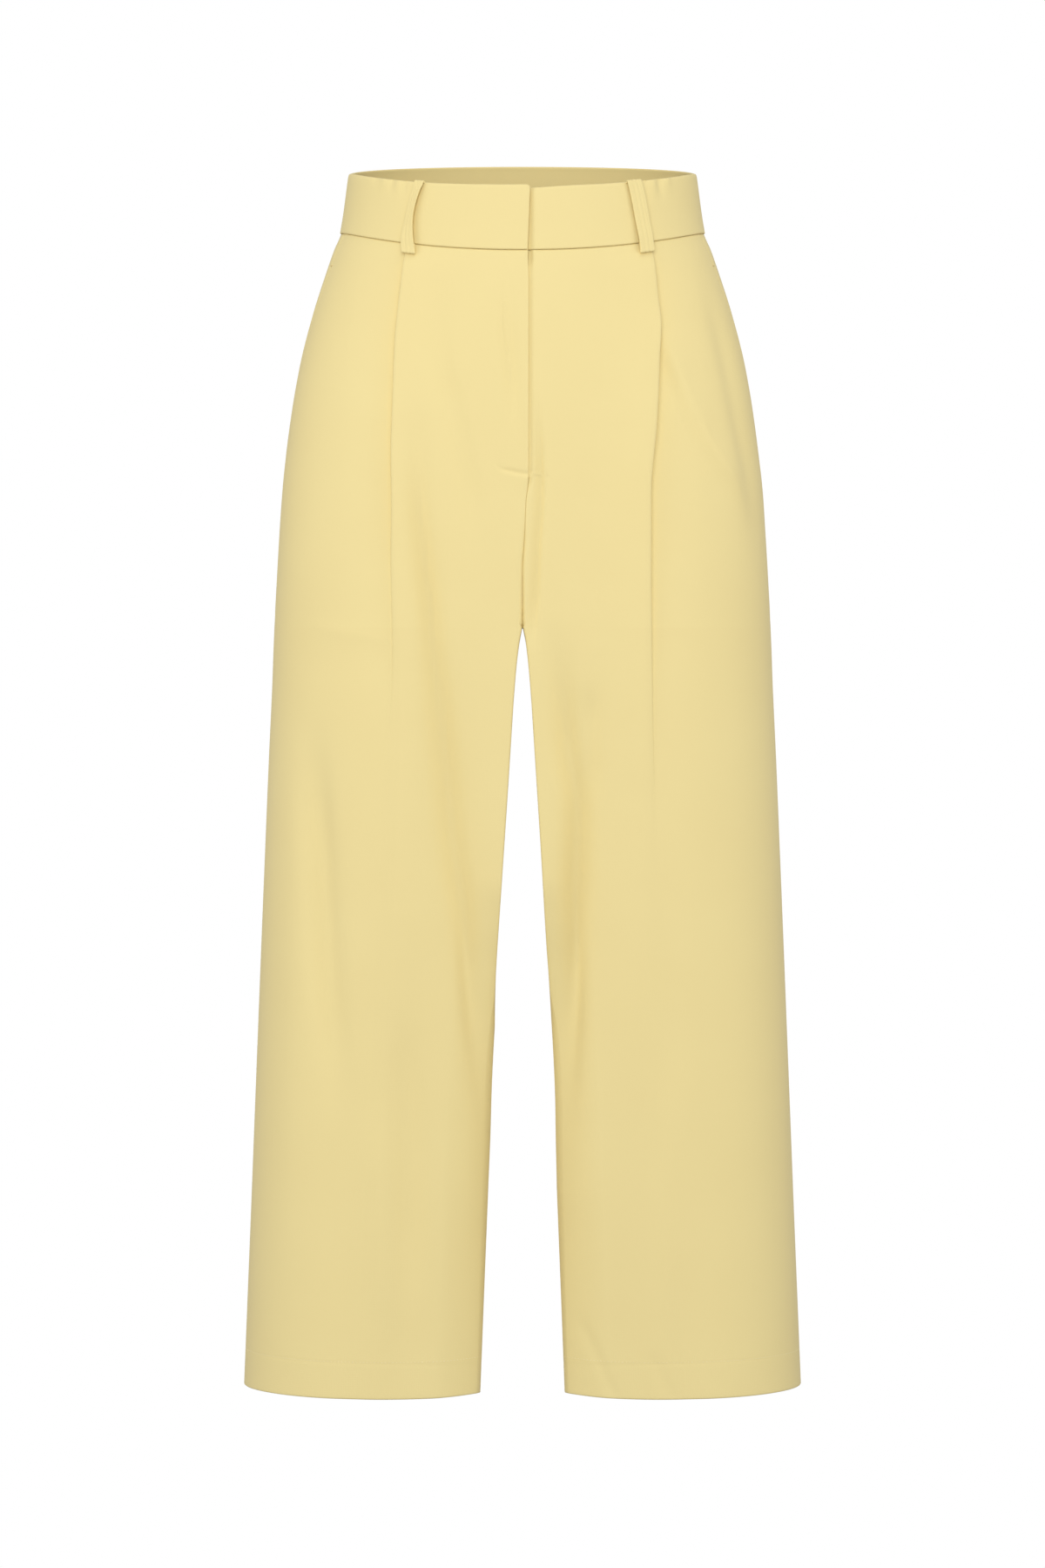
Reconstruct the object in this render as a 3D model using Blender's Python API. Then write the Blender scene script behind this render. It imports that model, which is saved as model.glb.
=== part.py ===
"""Wide-leg culottes: four cloth panels, a banded waist, belt loops, pockets and a zip fly.

Every piece is a closed wall of cloth. A wall is worked out from level rings of the garment: each
ring is half an oval that runs from the centre line (the inseam below the crotch) to the side
seam. A point of a wall is given by how far it lies along that half ring and by its height, the
distance that it stands out from the ring. Pleats and folds are heights; the walls of the waist,
the pockets, the zip and the belt loops are made from the same rings, moved in or out.

Tables are in millimetres and the finished meshes in metres. +Z is up, the front faces -Y, and the
origin is the centre of the waist opening. Right and left are the wearer's: right is at -X.
"""

import math
from collections import namedtuple

import bmesh
import bpy
import numpy as np

MM = 0.001

# Driving dimensions, in millimetres -------------------------------------------------------------

BAND_HEIGHT = 45.6
CROTCH_DROP = 343.2
HEM_DROP = 916.0
HEM_TURN = 30.0
HEM_INNER_DROP = 5.5
SEAM_GAP = 0.3

CLOTH = 1.2
HEM_WALL = 2.7
BAND_WALL = 2.4
POCKET_WALL = 1.2
ZIP_WALL = 1.2
LOOP_WALL = 1.8

TOP_DIP_FRONT = 20.0
TOP_RISE_BACK = 17.0
SEAM_DIP_FRONT = 22.0
TOP_DIP_POWER = 1.4
SEAM_DIP_POWER = 1.7
DIP_END_DROP = 330.0
ARCH_DIP = 3.8

FLY_END_DROP = 229.0
FLY_UNDERLAP = 9.0
FLY_LAP_RISE = 0.5
FLY_LAP_REACH = 14.0
FLY_DIP_REACH = 9.0
FLY_FADE = 14.0
BAND_UNDERLAP = 26.0
BAND_LAP_RISE = 0.5
BAND_LAP_REACH = 16.0
BAND_DIP_REACH = 8.0
LAYER_GAP = 0.4

POCKET_RAMP = 5.0
POCKET_LEAST_EDGE = 1.5
POCKET_END_DROP = 336.0
ZIP_HALF_WIDTH = 13.0

LOOP_WIDTH = 11.5
LOOP_END_BELOW_SEAM = 6.4
LOOP_EDGE_DROP = 0.3
LOOP_BAND_BASE = 0.7
LOOP_LEAVES_BAND = 0.55
LOOP_ON_PANEL = 0.85

# Columns of points across a panel: beside the pleat on a front, and in all on the other walls.
FRONT_INNER_COLUMNS = 10
CORNER_REACH = 3.6
FRONT_OUTER_COLUMNS = 5
BAG_PLEAT_COLUMNS = 3
BACK_COLUMNS = 15
ZIP_COLUMNS = 4
BAND_FRONT_COLUMNS = 9
BAND_BACK_COLUMNS = 10

SHARP_ANGLE = 50.0

# Colours are linear RGB of the pale yellow cloth, its lining-side shade and the zip tape.
CLOTH_COLOUR = (0.89, 0.75, 0.35)
BAND_COLOUR = (0.86, 0.72, 0.33)
POCKET_COLOUR = (0.80, 0.66, 0.30)
TAPE_COLOUR = (0.78, 0.64, 0.29)

# Level rings of the garment. Ridge is how far from the centre the ring is deepest. Half gap is half
# the space between the legs; where it is below zero the two ovals run into each other and meet in
# the centre seam. Fullness is the oval's power (2 is an ellipse, more is squarer).
Ring = namedtuple("Ring", "drop half_width half_gap ridge front_depth back_depth fullness")
RINGS = (
    Ring(0.0, 131.2, -400.0, 0.0, 100.0, 98.0, 2.05),
    Ring(45.6, 137.6, -400.0, 0.0, 104.5, 106.0, 2.1),
    Ring(58.0, 142.7, -400.0, 0.0, 106.2, 109.6, 2.14),
    Ring(75.0, 148.6, -400.0, 0.0, 108.0, 114.0, 2.18),
    Ring(105.0, 158.2, -400.0, 0.0, 110.6, 120.5, 2.24),
    Ring(145.0, 168.4, -400.0, 0.0, 112.8, 125.8, 2.32),
    Ring(185.0, 175.2, -340.0, 2.0, 113.8, 128.4, 2.36),
    Ring(230.0, 180.8, -220.0, 9.0, 114.0, 128.2, 2.38),
    Ring(262.0, 183.3, -130.0, 19.0, 113.8, 126.4, 2.38),
    Ring(290.0, 185.0, -62.0, 31.0, 113.4, 124.4, 2.36),
    Ring(312.0, 186.2, -27.0, 41.0, 112.9, 122.6, 2.32),
    Ring(328.0, 187.1, -9.6, 48.0, 112.5, 121.0, 2.28),
    Ring(338.0, 187.5, -2.4, 52.0, 112.2, 120.0, 2.26),
    Ring(343.2, 187.8, 0.0, 54.0, 112.0, 119.4, 2.25),
    Ring(362.0, 188.6, 3.2, 60.0, 111.3, 117.6, 2.22),
    Ring(385.0, 189.4, 5.3, 66.0, 110.4, 115.6, 2.2),
    Ring(440.0, 191.9, 8.9, 77.0, 108.2, 111.2, 2.15),
    Ring(520.0, 195.2, 13.9, 89.0, 104.8, 106.4, 2.1),
    Ring(600.0, 198.4, 18.0, 98.0, 101.6, 102.6, 2.07),
    Ring(700.0, 202.3, 22.6, 107.0, 98.4, 99.6, 2.04),
    Ring(800.0, 206.2, 26.8, 114.0, 96.0, 97.4, 2.0),
    Ring(916.0, 210.9, 31.1, 121.0, 94.0, 95.5, 2.0),
)

# The inner leg hangs flat up to a sharp edge in front. Fullness is the power of the front rings on
# the centre side of the ridge, setback is how far the inseam lies back from that edge, and turn is
# the share of the depth by which the last INNER_TURN of the front turns back to it.
InnerLegRow = namedtuple("InnerLegRow", "drop fullness setback turn")
INNER_LEG = (
    InnerLegRow(0.0, 2.05, 0.0, 0.0),
    InnerLegRow(185.0, 2.36, 0.0, 0.0),
    InnerLegRow(230.0, 2.6, 0.0, 0.0),
    InnerLegRow(262.0, 3.6, 0.0, 0.0),
    InnerLegRow(290.0, 6.5, 0.0, 0.0),
    InnerLegRow(312.0, 14.0, 0.0, 0.0),
    InnerLegRow(343.2, 30.0, 0.0, 0.0),
    InnerLegRow(385.0, 40.0, 1.2, 0.0),
    InnerLegRow(440.0, 40.0, 2.4, 0.0),
    InnerLegRow(560.0, 36.0, 3.0, 0.0),
    InnerLegRow(610.0, 32.0, 3.0, 0.04),
    InnerLegRow(660.0, 28.0, 3.0, 0.08),
    InnerLegRow(800.0, 22.0, 3.0, 0.085),
    InnerLegRow(916.0, 18.0, 3.0, 0.06),
)
INNER_TURN = 22.0
INNER_TURN_POWER = 1.25

# The pleat's fold edge: how far it lies from the centre, how high the centre side stands over the
# side part, and how sharp it is (1 is a tucked fold, 0 is a soft ridge and trough).
PleatRow = namedtuple("PleatRow", "drop across step sharp")
PLEATS = {
    "right": (
        PleatRow(45.6, 86.0, 2.2, 1.0),
        PleatRow(87.0, 90.9, 2.6, 1.0),
        PleatRow(121.0, 93.9, 2.8, 1.0),
        PleatRow(166.0, 95.5, 2.8, 1.0),
        PleatRow(209.0, 96.8, 2.6, 1.0),
        PleatRow(250.0, 96.5, 2.4, 0.8),
        PleatRow(291.0, 97.0, 2.0, 0.5),
        PleatRow(366.0, 95.5, 1.4, 0.2),
        PleatRow(450.0, 97.0, 1.2, 0.0),
        PleatRow(600.0, 103.0, 1.2, 0.0),
        PleatRow(916.0, 118.0, 1.4, 0.0),
    ),
    "left": (
        PleatRow(45.6, 95.6, 2.2, 1.0),
        PleatRow(80.0, 99.1, 2.6, 1.0),
        PleatRow(107.0, 101.3, 2.8, 1.0),
        PleatRow(143.0, 100.6, 3.0, 1.0),
        PleatRow(187.0, 98.7, 3.0, 1.0),
        PleatRow(242.0, 94.8, 2.8, 0.9),
        PleatRow(292.0, 94.8, 2.4, 0.7),
        PleatRow(366.0, 95.5, 1.8, 0.4),
        PleatRow(434.0, 96.1, 1.4, 0.1),
        PleatRow(600.0, 100.0, 1.2, 0.0),
        PleatRow(916.0, 115.0, 1.4, 0.0),
    ),
}

# Across a pleat, from the centre side to the side seam: place along the ring and height as a
# share of the step, for the tucked fold and for the soft one that it fades into.
PleatPoint = namedtuple("PleatPoint", "sharp_along sharp_height soft_along soft_height")
PLEAT_SECTION = (
    PleatPoint(-40.0, 0.00, -40.0, 0.00),
    PleatPoint(-24.0, 0.26, -26.0, 0.22),
    PleatPoint(-11.0, 0.74, -15.0, 0.50),
    PleatPoint(-2.6, 1.00, -7.0, 0.44),
    PleatPoint(-0.6, 0.84, -2.6, 0.20),
    PleatPoint(0.0, 0.36, 0.0, 0.00),
    PleatPoint(-0.9, -0.62, 2.4, -0.18),
    PleatPoint(0.9, -0.86, 6.5, -0.40),
    PleatPoint(8.0, -0.70, 14.0, -0.46),
    PleatPoint(22.0, -0.26, 26.0, -0.20),
    PleatPoint(40.0, 0.00, 40.0, 0.00),
)

# Soft folds of the hanging cloth. Across is measured from the centre; a negative depth is a
# trough. Each fades in and out between its two ends.
Fold = namedtuple("Fold", "side face top_drop top_across bottom_drop bottom_across width depth")
FRONT, BACK = -1, 1
FOLDS = (
    Fold("right", FRONT, 352.0, 62.0, 640.0, 22.0, 15.0, -4.2),
    Fold("right", FRONT, 380.0, 88.0, 900.0, 62.0, 22.0, 2.6),
    Fold("right", FRONT, 390.0, 128.0, 860.0, 136.0, 16.0, -2.4),
    Fold("right", FRONT, 560.0, 84.0, 912.0, 82.0, 14.0, -2.4),
    Fold("right", FRONT, 420.0, 160.0, 914.0, 176.0, 18.0, 1.8),
    Fold("left", FRONT, 360.0, 52.0, 760.0, 32.0, 15.0, -3.6),
    Fold("left", FRONT, 470.0, 78.0, 912.0, 66.0, 22.0, 2.4),
    Fold("left", FRONT, 100.0, 106.0, 226.0, 150.0, 15.0, -2.2),
    Fold("left", FRONT, 440.0, 134.0, 908.0, 150.0, 18.0, -1.8),
    Fold("right", BACK, 300.0, 40.0, 620.0, 70.0, 18.0, -3.6),
    Fold("right", BACK, 330.0, 92.0, 900.0, 108.0, 20.0, 3.0),
    Fold("right", BACK, 420.0, 140.0, 900.0, 152.0, 18.0, -2.4),
    Fold("left", BACK, 296.0, 44.0, 650.0, 64.0, 18.0, -3.6),
    Fold("left", BACK, 350.0, 98.0, 905.0, 112.0, 20.0, 2.8),
    Fold("left", BACK, 440.0, 146.0, 890.0, 150.0, 18.0, -2.2),
)

# How far the front closing line lies past the centre, towards the wearer's left.
ClosingRow = namedtuple("ClosingRow", "drop shift")
CLOSING = (
    ClosingRow(45.6, 4.6),
    ClosingRow(229.0, 4.4),
    ClosingRow(250.0, 2.6),
    ClosingRow(276.0, 1.6),
    ClosingRow(304.0, 0.0),
    ClosingRow(916.0, 0.0),
)

# How far the pocket mouth lies in front of the side seam.
MouthRow = namedtuple("MouthRow", "drop setback")
MOUTH = (
    MouthRow(45.6, 28.0),
    MouthRow(85.0, 27.0),
    MouthRow(110.0, 22.0),
    MouthRow(180.0, 9.0),
    MouthRow(236.0, 0.0),
    MouthRow(916.0, 0.0),
)

FRONT_DROPS = (
    45.6, 56.0, 71.0, 88.0, 107.0, 128.0, 152.0, 178.0, 204.0, 222.0, 229.0, 231.0, 242.0, 256.0, 274.0,
    294.0, 312.0, 326.0, 336.0, 343.2, 352.0, 366.0, 390.0, 430.0, 484.0, 546.0, 614.0, 684.0,
    752.0, 818.0, 874.0, 886.0, 887.0, 916.0,
)
BACK_DROPS = (
    45.6, 66.0, 90.0, 120.0, 156.0, 194.0, 230.0, 256.0, 282.0, 304.0, 322.0, 335.0, 343.2, 352.0,
    368.0, 394.0, 440.0, 506.0, 580.0, 660.0, 740.0, 816.0, 886.0, 887.0, 916.0,
)
POCKET_DROPS = FRONT_DROPS[:FRONT_DROPS.index(POCKET_END_DROP) + 1]
ZIP_DROPS = (45.6, 88.0, 128.0, 178.0, 222.0)

# The waistband from its top edge to the seam: share of its height, and how far it puffs out.
BandRow = namedtuple("BandRow", "share puff")
BAND_ROWS = (
    BandRow(0.0, 0.0),
    BandRow(0.03, 0.5),
    BandRow(0.3, 0.7),
    BandRow(0.65, 0.8),
    BandRow(0.9, 0.9),
    BandRow(0.97, 0.7),
    BandRow(1.0, 0.2),
)

# A belt loop from its top to its lower end: share of its length, and how far it stands off.
LoopRow = namedtuple("LoopRow", "share stand_off")
LOOP_ROWS = (
    LoopRow(0.0, -0.3),
    LoopRow(0.035, 0.0),
    LoopRow(0.12, 1.2),
    LoopRow(0.3, 2.4),
    LoopRow(0.5, 2.9),
    LoopRow(0.7, 2.5),
    LoopRow(0.86, 1.4),
    LoopRow(0.94, 0.6),
    LoopRow(1.0, 0.0),
)

# Where each loop sits: its top and lower end across from the centre, how far its top stands over
# the band's top edge, and the height of what it lies on (the front pair ends on the pleats).
Loop = namedtuple("Loop", "name side face top_across bottom_across top_above lower_base")
LOOPS = (
    Loop("belt_loop_front_right", "right", FRONT, 76.0, 83.0, 1.2, 2.6),
    Loop("belt_loop_front_left", "left", FRONT, 82.6, 92.2, 1.2, 2.6),
    Loop("belt_loop_back_right", "right", BACK, 80.0, 84.0, -1.6, 0.0),
    Loop("belt_loop_back_left", "left", BACK, 80.0, 84.0, -1.6, 0.0),
    Loop("belt_loop_back_centre", "left", BACK, 0.0, 0.0, -1.6, 0.0),
)

SIDE_SIGN = {"right": -1.0, "left": 1.0}


# Tables and rings ---------------------------------------------------------------------------------


def table_value(rows, column, drop):
    """Value of a table's column at a drop, on a smooth curve that never overshoots its rows."""
    drops = np.array([row.drop for row in rows])
    values = np.array([getattr(row, column) for row in rows])
    slopes = np.diff(values) / np.diff(drops)
    tangents = np.zeros(len(rows))
    tangents[0], tangents[-1] = slopes[0], slopes[-1]
    for i in range(1, len(rows) - 1):
        if slopes[i - 1] * slopes[i] > 0.0:
            tangents[i] = 2.0 * slopes[i - 1] * slopes[i] / (slopes[i - 1] + slopes[i])
    drop = min(max(drop, drops[0]), drops[-1])
    i = min(int(np.searchsorted(drops, drop, side="right")) - 1, len(rows) - 2)
    span = drops[i + 1] - drops[i]
    t = (drop - drops[i]) / span
    return (
        values[i] * (1.0 + 2.0 * t) * (1.0 - t) ** 2
        + values[i + 1] * t * t * (3.0 - 2.0 * t)
        + span * tangents[i] * t * (1.0 - t) ** 2
        - span * tangents[i + 1] * t * t * (1.0 - t)
    )


def smooth_step(value):
    """0 below 0, 1 above 1 and a smooth rise between."""
    t = min(max(value, 0.0), 1.0)
    return t * t * (3.0 - 2.0 * t)


class HalfRing:
    """One level half ring of the garment, from the centre line to the side seam."""

    SAMPLES = 300

    def __init__(self, drop, face):
        self.drop = drop
        self.face = face
        half_gap = table_value(RINGS, "half_gap", drop)
        ridge = table_value(RINGS, "ridge", drop)
        outer_fullness = table_value(RINGS, "fullness", drop)
        inner_fullness = outer_fullness
        setback = table_value(INNER_LEG, "setback", drop)
        column = "front_depth" if face == FRONT else "back_depth"
        self.half_width = table_value(RINGS, "half_width", drop)
        self.depth = table_value(RINGS, column, drop)
        if face == FRONT:
            inner_fullness = table_value(INNER_LEG, "fullness", drop)
        else:
            half_gap += setback
        inner_reach = ridge - half_gap
        shown_share = min(ridge / inner_reach, 1.0)
        last = math.acos(-(shown_share ** (inner_fullness / 2.0)))
        angle = np.linspace(last, 0.0, self.SAMPLES)
        inside = np.cos(angle) < 0.0
        fullness = np.where(inside, inner_fullness, outer_fullness)
        cosine = np.sign(np.cos(angle)) * np.abs(np.cos(angle)) ** (2.0 / fullness)
        sine = np.where(np.sin(angle) > 1e-9, np.sin(angle), 0.0) ** (2.0 / fullness)
        reach = np.where(inside, inner_reach, self.half_width - ridge)
        self.x = ridge + reach * cosine
        if face == FRONT and half_gap >= 0.0:
            bend = np.clip(1.0 - (self.x - half_gap) / INNER_TURN, 0.0, 1.0)
            self.x = self.x + np.where(inside, setback * (1.0 - sine), 0.0)
            sine = sine * (1.0 - table_value(INNER_LEG, "turn", drop) * bend**INNER_TURN_POWER)
        self.y = face * self.depth * sine
        steps = np.hypot(np.diff(self.x), np.diff(self.y))
        self.along = np.concatenate([[0.0], np.cumsum(steps)])
        self.length = float(self.along[-1])
        self.inner_end = float(self.x[0])
        slope_x = np.gradient(self.x, self.along)
        slope_y = np.gradient(self.y, self.along)
        normal = np.stack([-face * slope_y, face * slope_x], axis=1)
        self.normal = normal / np.linalg.norm(normal, axis=1)[:, None]
        facing = np.nonzero(self.normal[:, 1] * face > 0.707)[0]
        self.corner = float(self.along[facing[0]])

    def along_at(self, across):
        """Place along the ring where it lies this far from the centre line."""
        return float(np.interp(across, self.x, self.along))

    def point(self, along, height):
        """x, y of a point; a negative place along is past the centre line, on the other side."""
        flip = -1.0 if along < 0.0 else 1.0
        place = abs(along)
        x = np.interp(place, self.along, self.x)
        y = np.interp(place, self.along, self.y)
        normal_x = np.interp(place, self.along, self.normal[:, 0])
        normal_y = np.interp(place, self.along, self.normal[:, 1])
        return flip * (x + height * normal_x), y + height * normal_y

    def round_share(self, y):
        """0 at the side seam and 1 where the ring is deepest."""
        return min(abs(y) / self.depth, 1.0)


def level(ring, x, y):
    """Height z of a panel's point: waist rings dip in front, rise behind and level out lower."""
    share = ring.round_share(y)
    fade = 1.0 - smooth_step((ring.drop - BAND_HEIGHT) / (DIP_END_DROP - BAND_HEIGHT))
    if ring.face == FRONT:
        dip = SEAM_DIP_FRONT * share**SEAM_DIP_POWER
    else:
        dip = -TOP_RISE_BACK * share
    leg = max(0.0, (ring.drop - CROTCH_DROP) / (HEM_DROP - CROTCH_DROP))
    inner = min(max((ring.half_width - x) / (ring.half_width - ring.inner_end), 0.0), 1.0)
    arch = 0.0
    if ring.face == FRONT:
        arch = smooth_step((ring.drop - 300.0) / 40.0) * (1.0 - smooth_step((ring.drop - 350.0) / 60.0))
    return -(ring.drop + dip * fade + HEM_INNER_DROP * leg * inner + ARCH_DIP * arch * share)


# Heights: pleats, folds and laps ------------------------------------------------------------------


def fold_height(side, face, drop, across):
    """Sum of the soft folds at a place."""
    total = 0.0
    for fold in FOLDS:
        if fold.side != side or fold.face != face:
            continue
        t = (drop - fold.top_drop) / (fold.bottom_drop - fold.top_drop)
        if not 0.0 < t < 1.0:
            continue
        middle = fold.top_across + (fold.bottom_across - fold.top_across) * t
        reach = (across - middle) / fold.width
        total += fold.depth * math.sin(math.pi * t) * math.exp(-reach * reach)
    return total


def pleat_columns(side, drop, ring):
    """Places along the ring and heights of the pleat's points at one level."""
    rows = PLEATS[side]
    middle = ring.along_at(table_value(rows, "across", drop))
    step = table_value(rows, "step", drop)
    sharp = table_value(rows, "sharp", drop)
    alongs = []
    heights = []
    for point in PLEAT_SECTION:
        alongs.append(middle + point.soft_along + (point.sharp_along - point.soft_along) * sharp)
        share = point.soft_height + (point.sharp_height - point.soft_height) * sharp
        heights.append(share * step)
    return alongs, heights


def front_height(side, drop, ring, along):
    """Height of a front panel at any place, for the pieces that lie under or on it."""
    alongs, heights = pleat_columns(side, drop, ring)
    order = np.argsort(alongs)
    pleat = float(np.interp(along, np.array(alongs)[order], np.array(heights)[order]))
    across = ring.point(along, 0.0)[0]
    return pleat + fold_height(side, FRONT, drop, across)


def lap_height(side, drop, past_closing):
    """Height by the fly: the right front lies on top, and the left front dips to pass under it."""
    open_share = 1.0 - smooth_step((drop - FLY_END_DROP - 2.0) / FLY_FADE)
    if side == "right":
        return FLY_LAP_RISE * open_share * (1.0 - smooth_step(-past_closing / FLY_LAP_REACH))
    depth = (CLOTH + LAYER_GAP) * open_share
    return -depth * (1.0 - smooth_step((past_closing - 1.0) / FLY_DIP_REACH))


# Walls --------------------------------------------------------------------------------------------


def inner_profile(alongs, heights, wall):
    """The section moved in by the wall's thickness, square to itself, with its two ends kept."""
    points = np.stack([alongs, heights], axis=1)
    steps = np.diff(points, axis=0)
    normals = np.stack([-steps[:, 1], steps[:, 0]], axis=1)
    normals /= np.linalg.norm(normals, axis=1)[:, None]
    corner = np.vstack([normals[:1], normals[:-1] + normals[1:], normals[-1:]])
    corner /= np.linalg.norm(corner, axis=1)[:, None]
    moved = points - corner * wall
    moved[0, 0] = points[0, 0]
    moved[-1, 0] = points[-1, 0]
    return moved[:, 0], moved[:, 1]


def place_row(ring, side, alongs, heights, levels):
    """World points, in metres, of one row of a wall."""
    sign = SIDE_SIGN[side]
    row = []
    for along, height, z in zip(alongs, heights, levels):
        x, y = ring.point(along, height)
        x = sign * (x + SEAM_GAP / 2.0)
        y = y + ring.face * SEAM_GAP / 2.0
        row.append((x * MM, y * MM, z * MM))
    return row


def cloth_wall(name, outer, inner, material):
    """A closed wall between an outer and an inner grid of points, with its four edges."""
    mesh = bpy.data.meshes.new(name)
    build = bmesh.new()
    grids = []
    for grid in (outer, inner):
        grids.append([[build.verts.new(point) for point in row] for row in grid])
    rows = len(outer)
    columns = len(outer[0])
    for i in range(rows - 1):
        for j in range(columns - 1):
            for grid in grids:
                build.faces.new((grid[i][j], grid[i + 1][j], grid[i + 1][j + 1], grid[i][j + 1]))
    edge = [(0, j) for j in range(columns - 1)]
    edge += [(i, columns - 1) for i in range(rows - 1)]
    edge += [(rows - 1, j) for j in range(columns - 1, 0, -1)]
    edge += [(i, 0) for i in range(rows - 1, 0, -1)]
    for (i, j), (k, m) in zip(edge, edge[1:] + edge[:1]):
        build.faces.new((grids[0][i][j], grids[0][k][m], grids[1][k][m], grids[1][i][j]))
    bmesh.ops.recalc_face_normals(build, faces=build.faces)
    bmesh.ops.triangulate(build, faces=build.faces)
    build.to_mesh(mesh)
    build.free()
    mesh.shade_smooth()
    mesh.set_sharp_from_angle(angle=math.radians(SHARP_ANGLE))
    mesh.materials.append(material)
    item = bpy.data.objects.new(name, mesh)
    bpy.context.scene.collection.objects.link(item)
    return item


def cloth_material(name, colour, roughness):
    """Matte Principled material of one finish."""
    material = bpy.data.materials.new(name)
    material.use_nodes = True
    shader = material.node_tree.nodes["Principled BSDF"]
    shader.inputs["Base Color"].default_value = (*colour, 1.0)
    shader.inputs["Roughness"].default_value = roughness
    shader.inputs["Metallic"].default_value = 0.0
    material.diffuse_color = (*colour, 1.0)
    return material


def panel_wall(drop):
    """Wall thickness of a panel: one layer, and two from the hem stitching down."""
    return HEM_WALL if drop > HEM_DROP - HEM_TURN else CLOTH


# Pieces -------------------------------------------------------------------------------------------


def top_gap(levels, drop):
    """Lower the top row of a panel by half a seam gap, to clear the waistband."""
    if drop > BAND_HEIGHT:
        return levels
    return [z - SEAM_GAP / 2.0 for z in levels]


def inner_columns(ring, start, pleat_start):
    """Places from the centre line to the pleat: even above, and close round the inner leg's edge."""
    even = np.linspace(start, pleat_start, FRONT_INNER_COLUMNS + 1)[:-1]
    leg = smooth_step((ring.drop - 300.0) / 40.0)
    edge = start + max(ring.corner - start, CORNER_REACH + 2.0)
    near = [edge - CORNER_REACH, edge, edge + CORNER_REACH]
    wall = [start, 0.5 * (start + near[0])]
    front = np.linspace(near[-1], pleat_start, FRONT_INNER_COLUMNS - 3)[1:-1]
    return list(even + (np.array(wall + near + list(front)) - even) * leg)


def front_panel(side, material):
    """A front with its pleat, the fly's lap at the centre and the pocket mouth at the side."""
    outer = []
    inner = []
    for drop in FRONT_DROPS:
        ring = HalfRing(drop, FRONT)
        shift = table_value(CLOSING, "shift", drop)
        closing = -shift if side == "right" else shift
        start = closing
        if side == "left" and drop < FLY_END_DROP + 1.0:
            start = closing - FLY_UNDERLAP
        end = ring.length - table_value(MOUTH, "setback", drop)
        pleat_along, pleat_height = pleat_columns(side, drop, ring)
        alongs = inner_columns(ring, start, pleat_along[0])
        if side == "left" and drop < FLY_END_DROP + 1.0:
            dipped = closing + FLY_DIP_REACH + 1.0
            plain = np.linspace(dipped, pleat_along[0], FRONT_INNER_COLUMNS - 1)[:-1]
            alongs = [start, closing] + list(plain)
        heights = [0.0] * len(alongs)
        alongs += pleat_along
        heights += pleat_height
        outside = np.linspace(pleat_along[-1], end, FRONT_OUTER_COLUMNS + 1)[1:]
        alongs += list(outside)
        heights += [0.0] * FRONT_OUTER_COLUMNS
        for i, along in enumerate(alongs):
            across = ring.point(along, 0.0)[0]
            heights[i] += fold_height(side, FRONT, drop, across)
            past = along - closing if side == "left" else closing - along
            heights[i] += lap_height(side, drop, past)
        levels = [level(ring, *ring.point(along, 0.0)) for along in alongs]
        levels = top_gap(levels, drop)
        wall_along, wall_height = inner_profile(alongs, heights, panel_wall(drop))
        outer.append(place_row(ring, side, alongs, heights, levels))
        inner.append(place_row(ring, side, wall_along, wall_height, levels))
    return cloth_wall("front_" + side, outer, inner, material)


def back_panel(side, material):
    """A back, from the centre back seam and the inseam to the side seam."""
    outer = []
    inner = []
    for drop in BACK_DROPS:
        ring = HalfRing(drop, BACK)
        alongs = list(np.linspace(0.0, ring.length, BACK_COLUMNS))
        heights = [fold_height(side, BACK, drop, ring.point(along, 0.0)[0]) for along in alongs]
        levels = [level(ring, *ring.point(along, 0.0)) for along in alongs]
        levels = top_gap(levels, drop)
        wall_along, wall_height = inner_profile(alongs, heights, panel_wall(drop))
        outer.append(place_row(ring, side, alongs, heights, levels))
        inner.append(place_row(ring, side, wall_along, wall_height, levels))
    return cloth_wall("back_" + side, outer, inner, material)


def pocket(side, material):
    """The pocket's backing: it shows at the mouth, and runs on as the bag inside the front."""
    outer = []
    inner = []
    lift = CLOTH + LAYER_GAP
    for drop in POCKET_DROPS:
        ring = HalfRing(drop, FRONT)
        setback = table_value(MOUTH, "setback", drop)
        mouth = ring.length - setback
        ramp = min(POCKET_RAMP, setback)
        edge = min(mouth, ring.length - POCKET_LEAST_EDGE)
        step = min(POCKET_RAMP, 0.7 * (ring.length - edge))
        alongs = pleat_columns(side, drop, ring)[0][-BAG_PLEAT_COLUMNS:]
        alongs += list(np.linspace(alongs[-1], edge, FRONT_OUTER_COLUMNS + 1)[1:])
        alongs += [edge + 0.4 * step, edge + step, ring.length]
        heights = []
        for along in alongs:
            shown = smooth_step((along - mouth) / ramp) if ramp > 1.0 else 0.0
            heights.append(front_height(side, drop, ring, along) - lift * (1.0 - shown))
        levels = [level(ring, *ring.point(along, 0.0)) for along in alongs]
        levels = top_gap(levels, drop)
        wall_along, wall_height = inner_profile(alongs, heights, POCKET_WALL)
        outer.append(place_row(ring, side, alongs, heights, levels))
        inner.append(place_row(ring, side, wall_along, wall_height, levels))
    return cloth_wall("pocket_" + side, outer, inner, material)


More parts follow.
